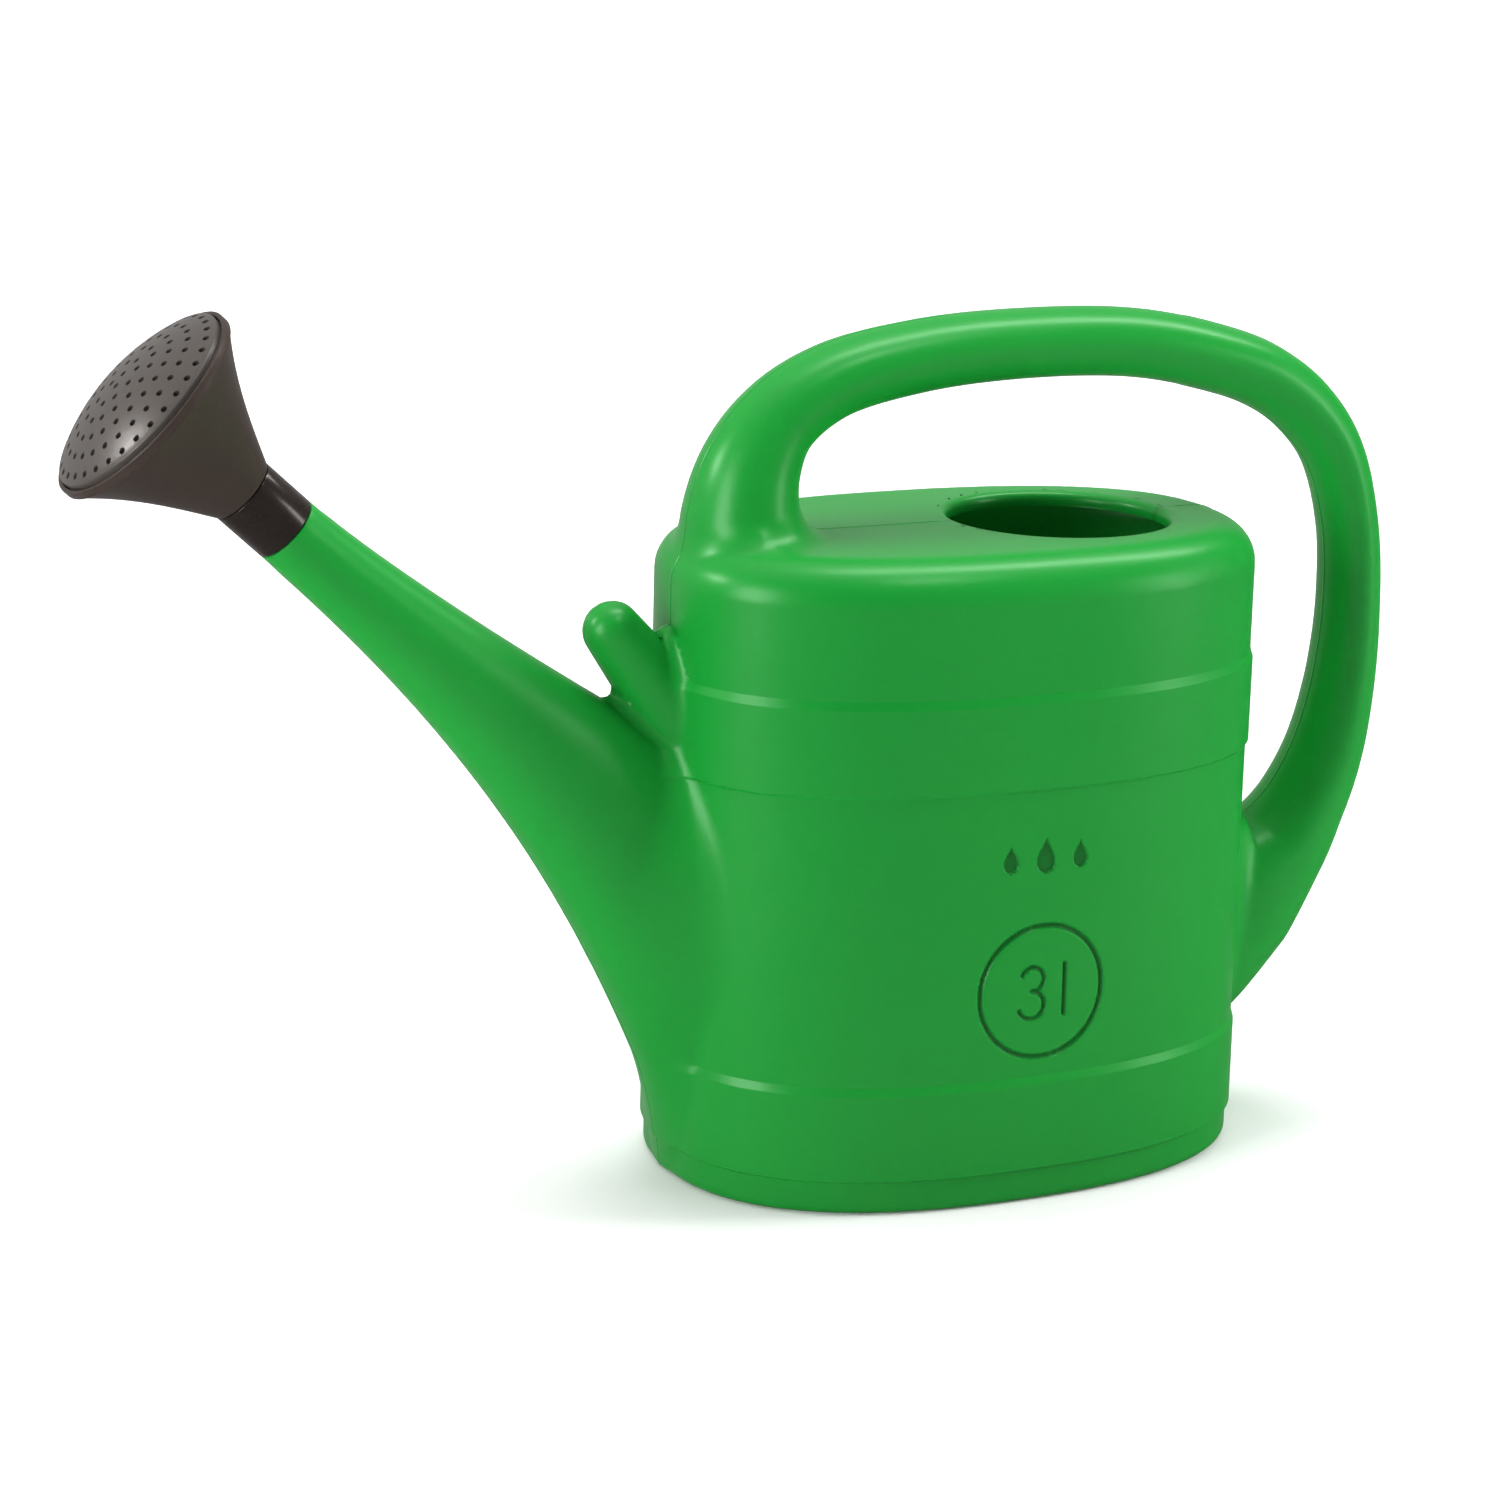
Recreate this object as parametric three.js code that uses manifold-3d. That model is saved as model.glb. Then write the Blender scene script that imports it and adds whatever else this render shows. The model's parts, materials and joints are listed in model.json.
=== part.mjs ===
// Three-litre plastic watering can with a lift-off rose.
//
// The green can is one hollow blow moulding. Its tank wall, deck, base, spout, spigot, handle
// and rose peg are separate meshes here, with a hairline gap where one runs into the next.
// The black rose is three pieces: a collar that pushes onto the spout, a funnel that turns
// on the collar, and a perforated face that snaps into the funnel.
//
// Millimetres, +Z up. The spout points to -X and Y = 0 is the plane of the mould's parting line.

import * as THREE from 'three';
import { mergeVertices } from 'three/addons/utils/BufferGeometryUtils.js';
import Module from 'manifold-3d';

// ---- Tank: plan size at floor level, height to the flat deck ----
const TANK_LENGTH = 180;
const TANK_WIDTH = 122;
const TANK_HEIGHT = 187.5;
const TANK_SQUARENESS = 2.4; // exponent of the plan outline, where 2 is an ellipse
const SIDE_DRAFT = 0.023; // inward lean of the front and back walls, per mm of height
const WALL = 1.6;
const DECK_EDGE_RADIUS = 12.5;
const FOOT_HEIGHT = 10;
const FOOT_INSET = 0.3;
const FOOT_EDGE_RADIUS = 2.5;
const FOOT_RING_WIDTH = 8;
const BASE_RECESS = 3;

// Raised bands round the tank: a sloping ledge on top, a sharp step below
const BAND_PROUD = 0.8;
const BAND_LEDGE = 2.4;
const BAND_STEP = 0.8;
const LOWER_BAND_TOP = 38;
const UPPER_BAND_DROP = 38; // from the deck to the top of the upper band
const UPPER_BAND_HEIGHT = 27;

// Filler opening in the deck
const FILLER_RADIUS = 32.5;
const FILLER_CENTRE_X = 32;
const FILLER_LIP_DEPTH = 4.5;
const FILLER_LIP_ROUND = 2.5;

// ---- Spout ----
const SPOUT_REACH = 111.5; // from the tank's end wall to the shoulder of the spout
const SPOUT_RISE = 9.5; // of the shoulder above the deck
const SPOUT_ANGLE = 43; // of the tip above horizontal, in degrees
const SPOUT_TIP_RADIUS = 9.8;
const SPOUT_ROOT_HALF_WIDTH = 20;
const KEEL_HEIGHT = 15; // where the underside of the spout runs into the end wall
const KEEL_ANGLE = 69; // steepness of the underside at the end wall, in degrees
const KEEL_TIP_PULL = 76; // length of straight run of the underside behind the tip
const KEEL_ROOT_PULL = 78;
const RIDGE_DROP = 57; // of the top of the spout below the deck, at the end wall
const RIDGE_ANGLE = 31;
const RIDGE_TIP_PULL = 26;
const RIDGE_ROOT_PULL = 40;
const SPIGOT_RADIUS = 8.2;
const SPIGOT_LENGTH = 15;

// ---- Rose peg: the finger between spout and tank that parks the rose ----
const PEG_RADIUS = 8.3;
const PEG_ROOT_RADIUS = 12;
const PEG_ANGLE = 52; // above horizontal, in degrees
const PEG_REACH = 17.6; // of the centre of its round tip from the end wall
const PEG_TIP_DROP = 25; // of the same centre below the deck
const PEG_BURIED_LENGTH = 36; // from the tip's centre back into the tank

// ---- Rose ----
const SLIDE_CLEARANCE = 0.3;
const COLLAR_WALL = 1.3;
const COLLAR_LENGTH = 16;
const NECK_RADIUS = 7.3; // the collar's inner neck, on which the funnel turns
const NECK_LENGTH = 7;
const NECK_BEAD = 0.7;
const ROSE_WALL = 1.4;
const ROSE_RIM_RADIUS = 30.8;
const ROSE_RIM_DEPTH = 2.6;
const FUNNEL_LENGTH = 36.5;
const FACE_DOME = 7;
const FACE_PROUD = 1.4;
const HOLE_RADIUS = 0.75;
const HOLE_RING_PITCH = 4.9;
const HOLE_RINGS = 6;
const FIRST_RING_HOLES = 3;
const HOLES_ADDED_PER_RING = 6;

// Hairline between neighbouring meshes, and facet counts
const GAP = 0.3;
const TANK_FACETS = 56;
const SPOUT_FACETS = 24;
const HANDLE_FACETS = 16;
const HANDLE_STEPS = 30;
const ROUND_FACETS = 36;
const FACE_FACETS = 24;

const RADIANS = Math.PI / 180;
const endX = TANK_LENGTH / 2;
const upperBandTop = TANK_HEIGHT - UPPER_BAND_DROP;
const upperBandBottom = upperBandTop - UPPER_BAND_HEIGHT;
const skirtTop = TANK_HEIGHT - DECK_EDGE_RADIUS - GAP;

// Handle stations, front to rear: centre x and z of the section, half its thickness in the
// mid-plane, half its width across it. Front and rear ones follow the tank's end walls, high
// ones follow the deck, and the lowest ones stay at their height above the floor.
const front = (x) => x - endX;
const rear = (x) => x + endX;
const deck = (z) => z + TANK_HEIGHT;
const HANDLE_STATIONS = [
  [front(22), deck(-15), 18, 21],
  [front(20.8), deck(4.5), 16.6, 19],
  [front(23.6), deck(19.5), 14.2, 15.8],
  [front(31.2), deck(32), 11.8, 13.6],
  [front(46.5), deck(41.9), 10.8, 12.6],
  [front(74), deck(48.2), 10.4, 12.2],
  [18, deck(50.6), 10.1, 12],
  [rear(-36), deck(49.4), 10, 12],
  [rear(-10), deck(44.2), 9.9, 12],
  [rear(8), deck(38), 9.8, 11.9],
  [rear(22.2), deck(28.7), 9.6, 11.8],
  [rear(34), deck(14.5), 9, 11.6],
  [rear(41.5), deck(-8), 8.6, 11.5],
  [rear(43.8), deck(-33), 8.9, 11.8],
  [rear(42.7), 130, 10, 12.4],
  [rear(38.4), 108, 11.7, 13.2],
  [rear(31.6), 92, 13.4, 14.4],
  [rear(23.4), 79.5, 16.6, 16],
  [rear(10), 66.5, 23.4, 18],
  [rear(-8), 50.5, 26, 19],
  [rear(-24), 34, 21, 17],
];

const wasm = await Module();
wasm.setup();

// ---- Mesh helpers ----

function toSolid(geometry) {
  const bare = geometry.clone();
  bare.deleteAttribute('normal');
  bare.deleteAttribute('uv');
  const merged = mergeVertices(bare, 1e-4);
  return new wasm.Manifold(new wasm.Mesh({
    numProp: 3,
    vertProperties: new Float32Array(merged.attributes.position.array),
    triVerts: new Uint32Array(merged.index.array),
  }));
}

function toGeometry(solid) {
  const mesh = solid.getMesh();
  const geometry = new THREE.BufferGeometry();
  geometry.setAttribute('position', new THREE.BufferAttribute(mesh.vertProperties, 3));
  geometry.setIndex(new THREE.BufferAttribute(mesh.triVerts, 1));
  geometry.computeVertexNormals();
  return geometry;
}

// Skin over a row of rings with equal point counts. An open row is capped at both ends,
// and a row that closes on itself joins its last ring to its first.
function loft(rings, closesOnItself = false) {
  const count = rings[0].length;
  const points = rings.flat();
  const indices = [];
  const spans = closesOnItself ? rings.length : rings.length - 1;
  for (let i = 0; i < spans; i += 1) {
    const low = i * count;
    const high = ((i + 1) % rings.length) * count;
    for (let k = 0; k < count; k += 1) {
      const next = (k + 1) % count;
      indices.push(low + k, low + next, high + next);
      indices.push(low + k, high + next, high + k);
    }
  }
  if (!closesOnItself) {
    const last = (rings.length - 1) * count;
    const startCentre = points.length;
    const centreOf = (ring) => ring.reduce((sum, p) => sum.add(p), new THREE.Vector3())
      .divideScalar(count);
    points.push(centreOf(rings[0]), centreOf(rings[rings.length - 1]));
    for (let k = 0; k < count; k += 1) {
      const next = (k + 1) % count;
      indices.push(startCentre, next, k);
      indices.push(startCentre + 1, last + k, last + next);
    }
  }
  const geometry = new THREE.BufferGeometry().setFromPoints(points);
  geometry.setIndex(indices);
  return toSolid(geometry);
}

// Solid of revolution about +Z from a closed profile of [radius, height] pairs, listed
// anticlockwise in the radius-height plane
function turned(profile, facets = ROUND_FACETS) {
  const points = [...profile, profile[0]].map(([r, z]) => new THREE.Vector2(r, z));
  const geometry = new THREE.LatheGeometry(points, facets);
  geometry.rotateX(Math.PI / 2);
  return toSolid(geometry);
}

// ---- Tank ----

// Plan outline of the tank at one height, moved out by an offset
function planRing(z, offset) {
  const a = endX + offset;
  const b = TANK_WIDTH / 2 - SIDE_DRAFT * z + offset;
  const power = 2 / TANK_SQUARENESS;
  const ring = [];
  for (let k = 0; k < TANK_FACETS; k += 1) {
    const angle = (2 * Math.PI * k) / TANK_FACETS;
    const c = Math.cos(angle);
    const s = Math.sin(angle);
    const x = a * Math.sign(c) * Math.abs(c) ** power;
    const y = b * Math.sign(s) * Math.abs(s) ** power;
    ring.push(new THREE.Vector3(x, y, z));
  }
  return ring;
}

function fillerRing(radius, z) {
  const ring = [];
  for (let k = 0; k < TANK_FACETS; k += 1) {
    const angle = (2 * Math.PI * k) / TANK_FACETS;
    const x = FILLER_CENTRE_X + radius * Math.cos(angle);
    ring.push(new THREE.Vector3(x, radius * Math.sin(angle), z));
  }
  return ring;
}

// Quarter-round levels [height, offset] that turn the wall over into the deck
function deckEdge(inset, steps = 4) {
  const radius = DECK_EDGE_RADIUS - inset;
  const levels = [];
  for (let i = 0; i <= steps; i += 1) {
    const angle = (i / steps) * (Math.PI / 2);
    const z = TANK_HEIGHT - DECK_EDGE_RADIUS + radius * Math.sin(angle);
    levels.push([z, radius * Math.cos(angle) - DECK_EDGE_RADIUS]);
  }
  return levels;
}

const footOffset = -FOOT_INSET;
const footRound = [0, 30, 60, 90].map((degrees) => {
  const angle = degrees * RADIANS;
  const z = FOOT_EDGE_RADIUS * (1 - Math.sin(angle));
  return [z, footOffset - FOOT_EDGE_RADIUS * (1 - Math.cos(angle))];
});

const wallLevels = [
  [FOOT_HEIGHT, BAND_PROUD],
  [LOWER_BAND_TOP - BAND_LEDGE, BAND_PROUD],
  [LOWER_BAND_TOP, 0],
  [upperBandBottom - BAND_STEP, 0],
  [upperBandBottom, BAND_PROUD],
  [upperBandTop - BAND_LEDGE, BAND_PROUD],
  [upperBandTop, 0],
  [skirtTop, 0],
];

// The tank's outside as one closed body, grown by an offset: the tool that trims the spout,
// handle and peg where they meet it
function tankEnvelope(grow) {
  const sides = [...[...footRound].reverse(), ...wallLevels];
  const bottom = sides[0];
  const rings = sides.map(([z, offset]) => planRing(z, offset + grow));
  rings.unshift(planRing(bottom[0] - grow, bottom[1]));
  rings.push(...deckEdge(-grow).map(([z, offset]) => planRing(z, offset)));
  return loft(rings);
}

function tankWall() {
  const outside = wallLevels.map(([z, offset]) => planRing(z, offset));
  const inside = [planRing(skirtTop, -WALL), planRing(FOOT_HEIGHT, -WALL)];
  return loft([...outside, ...inside], true);
}

function tankBase() {
  const top = FOOT_HEIGHT - GAP;
  const ringInner = footOffset - FOOT_EDGE_RADIUS - FOOT_RING_WIDTH;
  const floorOffset = ringInner - BASE_RECESS;
  return loft([
    planRing(BASE_RECESS, floorOffset),
    planRing(0, ringInner),
    ...[...footRound].reverse().map(([z, offset]) => planRing(z, offset)),
    planRing(top, footOffset),
    planRing(top, footOffset - WALL),
    planRing(FOOT_EDGE_RADIUS + WALL, footOffset - WALL),
    planRing(BASE_RECESS + WALL, footOffset - WALL - FOOT_EDGE_RADIUS),
  ]);
}

function tankDeck() {
  const outside = deckEdge(0).map(([z, offset]) => planRing(z, offset));
  const inside = deckEdge(WALL, 2).map(([z, offset]) => planRing(z, offset)).reverse();
  const lipBottom = TANK_HEIGHT - FILLER_LIP_DEPTH;
  const round = FILLER_LIP_ROUND;
  return loft([
    ...outside,
    fillerRing(FILLER_RADIUS + round, TANK_HEIGHT),
    fillerRing(FILLER_RADIUS + round * 0.3, TANK_HEIGHT - round * 0.3),
    fillerRing(FILLER_RADIUS, TANK_HEIGHT - round),
    fillerRing(FILLER_RADIUS, lipBottom),
    fillerRing(FILLER_RADIUS + WALL, lipBottom),
    fillerRing(FILLER_RADIUS + WALL, TANK_HEIGHT - round),
    fillerRing(FILLER_RADIUS + WALL + round, TANK_HEIGHT - WALL),
    ...inside,
  ], true);
}

// ---- Tubes of oval section whose centres stay in the mid-plane ----

function ovalRing(centre, along, halfHeight, halfWidth, facets) {
  const across = new THREE.Vector3(0, 1, 0);
  const up = new THREE.Vector3().crossVectors(across, along).normalize();
  const ring = [];
  for (let k = 0; k < facets; k += 1) {
    const angle = (2 * Math.PI * k) / facets;
    ring.push(centre.clone()
      .addScaledVector(up, -halfHeight * Math.cos(angle))
      .addScaledVector(across, halfWidth * Math.sin(angle)));
  }
  return ring;
}

// ---- Spout: oval sections spanned between an underside curve and a top curve ----

const spoutAlong = new THREE.Vector3(
  -Math.cos(SPOUT_ANGLE * RADIANS),
  0,
  Math.sin(SPOUT_ANGLE * RADIANS),
);
const spoutShoulder = new THREE.Vector3(-endX - SPOUT_REACH, 0, TANK_HEIGHT + SPOUT_RISE);

function profileCurve(side, rootHeight, rootAngle, tipPull, rootPull) {
  const outward = new THREE.Vector3(-spoutAlong.z, 0, spoutAlong.x).multiplyScalar(side);
  const tip = spoutShoulder.clone().addScaledVector(outward, SPOUT_TIP_RADIUS);
  const root = new THREE.Vector3(-endX, 0, rootHeight);
  const angle = rootAngle * RADIANS;
  const back = new THREE.Vector3(-Math.cos(angle), 0, Math.sin(angle));
  return new THREE.CubicBezierCurve3(
    tip,
    tip.clone().addScaledVector(spoutAlong, -tipPull),
    root.clone().addScaledVector(back, rootPull),
    root,
  );
}

const keelCurve = profileCurve(1, KEEL_HEIGHT, KEEL_ANGLE, KEEL_TIP_PULL, KEEL_ROOT_PULL);
const ridgeCurve = profileCurve(
  -1,
  TANK_HEIGHT - RIDGE_DROP,
  RIDGE_ANGLE,
  RIDGE_TIP_PULL,
  RIDGE_ROOT_PULL,
);

function spoutBody(inset, buried) {
  const sections = 14;
  const rings = [];
  for (let i = 0; i <= sections; i += 1) {
    const t = i / sections;
    const keel = keelCurve.getPoint(t);
    const ridge = ridgeCurve.getPoint(t);
    const up = ridge.clone().sub(keel);
    const along = new THREE.Vector3(-up.z, 0, up.x).normalize();
    const halfHeight = up.length() / 2;
    const widening = THREE.MathUtils.smoothstep(t, 0, 1);
    const halfWidth = THREE.MathUtils.lerp(
      SPOUT_TIP_RADIUS,
      SPOUT_ROOT_HALF_WIDTH,
      widening,
    );
    const centre = keel.clone().add(ridge).divideScalar(2);
    rings.push(ovalRing(centre, along, halfHeight - inset, halfWidth - inset, SPOUT_FACETS));
  }
  const root = rings[rings.length - 1];
  rings.push(root.map((p) => p.clone().add(new THREE.Vector3(buried, 0, 0))));
  return rings;
}

function tipRing(distance, radius) {
  const centre = spoutShoulder.clone().addScaledVector(spoutAlong, distance);
  return ovalRing(centre, spoutAlong, radius, radius, SPOUT_FACETS);
}

function spoutOutside(grow) {
  return loft(spoutBody(-grow, 2 * WALL));
}

function spoutBore() {
  const radius = SPIGOT_RADIUS - WALL;
  return loft([
    tipRing(WALL, radius),
    tipRing(-WALL, radius),
    ...spoutBody(WALL, 6 * WALL).slice(1),
  ]);
}

// ---- Handle ----

function handleBody(inset) {
  const centres = new THREE.CatmullRomCurve3(
    HANDLE_STATIONS.map(([x, z]) => new THREE.Vector3(x, 0, z)),
  );
  const sizes = new THREE.CatmullRomCurve3(
    HANDLE_STATIONS.map(([, , thick, wide]) => new THREE.Vector3(thick, wide, 0)),
  );
  const sections = HANDLE_STEPS;
  const rings = [];
  for (let i = 0; i <= sections; i += 1) {
    const t = i / sections;
    const size = sizes.getPoint(t);
    const along = centres.getTangent(t);
    const centre = centres.getPoint(t);
    rings.push(ovalRing(centre, along, size.x - inset, size.y - inset, HANDLE_FACETS));
  }
  return loft(rings.reverse());
}

// ---- Rose peg ----

function pegBody(inset, length) {
  const radius = PEG_RADIUS - inset;
  const rootRadius = PEG_ROOT_RADIUS - inset;
  const profile = [[0, -length], [rootRadius, -length]];
  for (let degrees = 0; degrees < 90; degrees += 18) {
    const angle = degrees * RADIANS;
    profile.push([radius * Math.cos(angle), radius * Math.sin(angle)]);
  }
  profile.push([0, radius]);
  return turned(profile, SPOUT_FACETS)
    .rotate([0, PEG_ANGLE - 90, 0])
    .translate([-endX - PEG_REACH, 0, TANK_HEIGHT - PEG_TIP_DROP]);
}

// ---- Spigot and rose: turned about +Z with height measured from the spout's shoulder ----

function spigot() {
  const spigotBore = SPIGOT_RADIUS - WALL;
  return turned([
    [spigotBore, GAP],
    [SPIGOT_RADIUS, GAP],
    [SPIGOT_RADIUS, SPIGOT_LENGTH],
    [spigotBore, SPIGOT_LENGTH],
  ]);
}

const collarRadius = SPIGOT_RADIUS + SLIDE_CLEARANCE + COLLAR_WALL;
const collarBottom = GAP;
const collarTop = collarBottom + COLLAR_LENGTH;
const neckTop = collarTop + NECK_LENGTH;
const funnelBottom = collarTop + GAP;
const funnelTop = funnelBottom + FUNNEL_LENGTH;
const funnelBore = NECK_RADIUS + SLIDE_CLEARANCE;
const rimBottom = funnelTop - ROSE_RIM_DEPTH;
const seatRadius = ROSE_RIM_RADIUS - ROSE_WALL;

function collar() {
  const bore = SPIGOT_RADIUS + SLIDE_CLEARANCE;
  const neckBore = NECK_RADIUS - COLLAR_WALL;
  const beadRadius = NECK_RADIUS + NECK_BEAD;
  return turned([
    [bore, collarBottom],
    [collarRadius, collarBottom],
    [collarRadius, collarTop],
    [NECK_RADIUS, collarTop],
    [NECK_RADIUS, neckTop - 2 * NECK_BEAD],
    [beadRadius, neckTop - NECK_BEAD],
    [NECK_RADIUS, neckTop],
    [neckBore, neckTop],
    [neckBore, collarTop - COLLAR_WALL + GAP],
    [bore, collarTop - COLLAR_WALL + GAP],
  ]);
}

// The flare: starts at the collar's radius and opens ever faster towards the rim
function flareRadius(height) {
  const u = (height - funnelBottom) / (rimBottom - funnelBottom);
  const growth = 0.8 * u + 0.2 * u * u * u;
  return collarRadius + (ROSE_RIM_RADIUS - collarRadius) * growth;
}

function funnel() {
  const boreTop = neckTop - 2 * NECK_BEAD - SLIDE_CLEARANCE;
  const beadRoom = NECK_RADIUS + NECK_BEAD + SLIDE_CLEARANCE;
  const flareSteps = 8;
  const outside = [];
  const inside = [];
  for (let i = 0; i <= flareSteps; i += 1) {
    const height = THREE.MathUtils.lerp(funnelBottom, rimBottom, i / flareSteps);
    outside.push([flareRadius(height), height]);
    const innerRadius = flareRadius(height) - ROSE_WALL;
    if (height > boreTop && innerRadius > beadRoom) {
      inside.unshift([innerRadius - ROSE_WALL * (i === flareSteps ? 1 : 0), height]);
    }
  }
  return turned([
    [funnelBore, funnelBottom],
    ...outside,
    [ROSE_RIM_RADIUS, funnelTop],
    [seatRadius, funnelTop],
    [seatRadius, rimBottom],
    ...inside,
    [beadRoom, boreTop + NECK_BEAD],
    [funnelBore, boreTop],
  ]);
}

const faceRadius = seatRadius - SLIDE_CLEARANCE;
const faceBottom = rimBottom + SLIDE_CLEARANCE;
const faceEdgeTop = funnelTop + FACE_PROUD;

// Height of the domed face above its edge at a given radius
function domeHeight(radius, span, dome) {
  const sphere = (span * span + dome * dome) / (2 * dome);
  return Math.sqrt(sphere * sphere - radius * radius) - (sphere - dome);
}

function face() {
  const steps = 3;
  const span = faceRadius - ROSE_WALL;
  const outside = [];
  const inside = [];
  for (let i = 0; i <= steps; i += 1) {
    const outer = (faceRadius * (steps - i)) / steps;
    const inner = (span * i) / steps;
    outside.push([outer, faceEdgeTop + domeHeight(outer, faceRadius, FACE_DOME)]);
    const underside = faceEdgeTop - ROSE_WALL + domeHeight(inner, span, FACE_DOME);
    inside.push([inner, underside]);
  }
  const rim = [[span, faceBottom], [faceRadius, faceBottom]];
  let plate = turned([...rim, ...outside, ...inside], FACE_FACETS);
  for (let ring = 0; ring < HOLE_RINGS; ring += 1) {
    const radius = HOLE_RING_PITCH * (ring + 0.5);
    const count = FIRST_RING_HOLES + HOLES_ADDED_PER_RING * ring;
    for (let k = 0; k < count; k += 1) {
      const angle = (2 * Math.PI * k) / count;
      plate = plate.subtract(faceHole(radius, angle));
    }
  }
  return plate;
}

// Four-sided cutter square to the dome at one hole
function faceHole(radius, angle) {
  const sphere = (faceRadius * faceRadius + FACE_DOME * FACE_DOME) / (2 * FACE_DOME);
  const tilt = Math.asin(radius / sphere);
  const hole = new THREE.CylinderGeometry(HOLE_RADIUS, HOLE_RADIUS, 4 * ROSE_WALL, 4);
  hole.rotateX(Math.PI / 2);
  hole.rotateY(tilt);
  const height = faceEdgeTop + domeHeight(radius, faceRadius, FACE_DOME);
  hole.translate(radius, 0, height - ROSE_WALL / 2);
  hole.rotateZ(angle);
  return toSolid(hole);
}

// ---- Assembly ----

const greenPlastic = { color: 0x14a03a, roughness: 0.42, metalness: 0 };
const glossBlack = { color: 0x14110f, roughness: 0.22, metalness: 0 };
const satinBlack = { color: 0x2c2725, roughness: 0.45, metalness: 0 };
const faceGrey = { color: 0x4a4644, roughness: 0.38, metalness: 0 };

function part(name, solid, look) {
  const mesh = new THREE.Mesh(toGeometry(solid), new THREE.MeshStandardMaterial(look));
  mesh.name = name;
  return mesh;
}

const tankTrim = tankEnvelope(GAP);
const bore = spoutBore();
const handleCore = handleBody(WALL);
const peg = pegBody(0, PEG_BURIED_LENGTH)
  .subtract(pegBody(WALL, PEG_BURIED_LENGTH + WALL))
  .subtract(tankTrim)
  .subtract(spoutOutside(GAP));

const can = new THREE.Group();
can.add(
  part('tank_base', tankBase(), greenPlastic),
  part('tank_wall', tankWall().subtract(bore).subtract(handleCore), greenPlastic),
  part('tank_deck', tankDeck().subtract(handleCore), greenPlastic),
  part('spout', spoutOutside(0).subtract(bore).subtract(tankTrim), greenPlastic),
  part('handle', handleBody(0).subtract(handleCore).subtract(tankTrim), greenPlastic),
  part('rose_peg', peg, greenPlastic),
);

const tip = new THREE.Group();
tip.add(
  part('spigot', spigot(), greenPlastic),
  part('rose_collar', collar(), glossBlack),
  part('rose_funnel', funnel(), satinBlack),
  part('rose_face', face(), faceGrey),
);
tip.position.copy(spoutShoulder);
tip.quaternion.setFromUnitVectors(new THREE.Vector3(0, 0, 1), spoutAlong);

// The origin is on the floor, below the middle of the whole object's plan box
const model = new THREE.Group();
model.add(can, tip);
model.updateMatrixWorld(true);
const box = new THREE.Box3().setFromObject(model, true);
model.position.x = -(box.min.x + box.max.x) / 2;

export default model;
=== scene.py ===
"""Watering can: a seamless green moulding with a black rose that pulls off and turns.

The can's outside and inside are two skins, each traced where a distance field of tank, spout,
handle and rose peg is zero, so that the parts run into each other with rolling-ball fillets.
The rose's collar, funnel and face are turned, and the face is pierced by geometry nodes.
"""
import json
import math

import bmesh
import bpy
import numpy as np
from bpy.props import FloatProperty, FloatVectorProperty, IntProperty, PointerProperty
from mathutils import Matrix, Vector


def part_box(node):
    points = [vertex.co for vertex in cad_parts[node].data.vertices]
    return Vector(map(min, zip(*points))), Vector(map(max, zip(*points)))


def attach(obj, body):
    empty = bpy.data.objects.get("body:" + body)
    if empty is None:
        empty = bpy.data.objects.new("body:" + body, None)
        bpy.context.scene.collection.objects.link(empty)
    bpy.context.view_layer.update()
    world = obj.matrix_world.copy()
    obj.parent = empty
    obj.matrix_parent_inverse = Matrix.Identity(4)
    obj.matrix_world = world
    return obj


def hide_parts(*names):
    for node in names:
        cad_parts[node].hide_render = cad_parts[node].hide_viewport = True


bl_info = {
    "name": "Watering can",
    "version": (1, 0, 0),
    "blender": (4, 5, 0),
    "location": "3D View > Sidebar > Watering can",
    "description": "Builds a moulded watering can with a pull-off rose on its CAD frame",
    "category": "Add Mesh",
}

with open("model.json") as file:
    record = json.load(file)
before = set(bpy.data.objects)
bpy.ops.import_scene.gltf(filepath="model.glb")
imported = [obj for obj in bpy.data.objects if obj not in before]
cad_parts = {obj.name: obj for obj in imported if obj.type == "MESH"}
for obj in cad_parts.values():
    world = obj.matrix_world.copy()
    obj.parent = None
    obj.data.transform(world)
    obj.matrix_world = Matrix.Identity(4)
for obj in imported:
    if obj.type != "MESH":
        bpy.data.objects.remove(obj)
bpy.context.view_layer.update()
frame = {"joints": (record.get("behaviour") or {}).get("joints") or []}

WALL_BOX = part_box("tank_wall")
DECK_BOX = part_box("tank_deck")
COLLAR_JOINT = next(joint for joint in frame["joints"] if joint["name"] == "rose_twist")
SPOUT_SHOULDER = Vector(COLLAR_JOINT["pos_m"])
SPOUT_AXIS = Vector(COLLAR_JOINT["axis"]).normalized()
TANK_CENTRE_X = (WALL_BOX[0].x + WALL_BOX[1].x) / 2
DECK_HEIGHT = DECK_BOX[1].z
# The can is traced with the tank's middle at x = 0, and moved to its place at the end.
SHOULDER_X = SPOUT_SHOULDER.x - TANK_CENTRE_X
SHOULDER = Vector((SHOULDER_X, 0, SPOUT_SHOULDER.z))

MM = 0.001
TINY = 1e-9
ON_AXIS = 1e-6
# The distance given where a point is beside no part of a tube.
FAR = 0.06
# The point attribute that carries the painted shade darkening the marks' grooves and the parting
# line.
PAINTED_SHADE_ATTRIBUTE = "engraved"

# Where the skins are traced, and how finely.
TRACED_BEFORE_TIP = 0.016
TRACED_REAR = 0.146
TRACED_SIDE = 0.0645
TRACED_BELOW = -2 * MM
TRACED_TOP = 0.253
SKIN_STEP = 2.0 * MM
LINING_STEP = 4.2 * MM
SEAM_STEP = 0.3 * MM

# The marks lie on the front wall, in front of and between these.
MARKS_FRONT = -0.03
MARKS_LOW = 0.035
MARKS_HIGH = 0.115
DROPS_ABOVE_RING = 38 * MM
DROP_SPACING = 11 * MM


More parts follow.
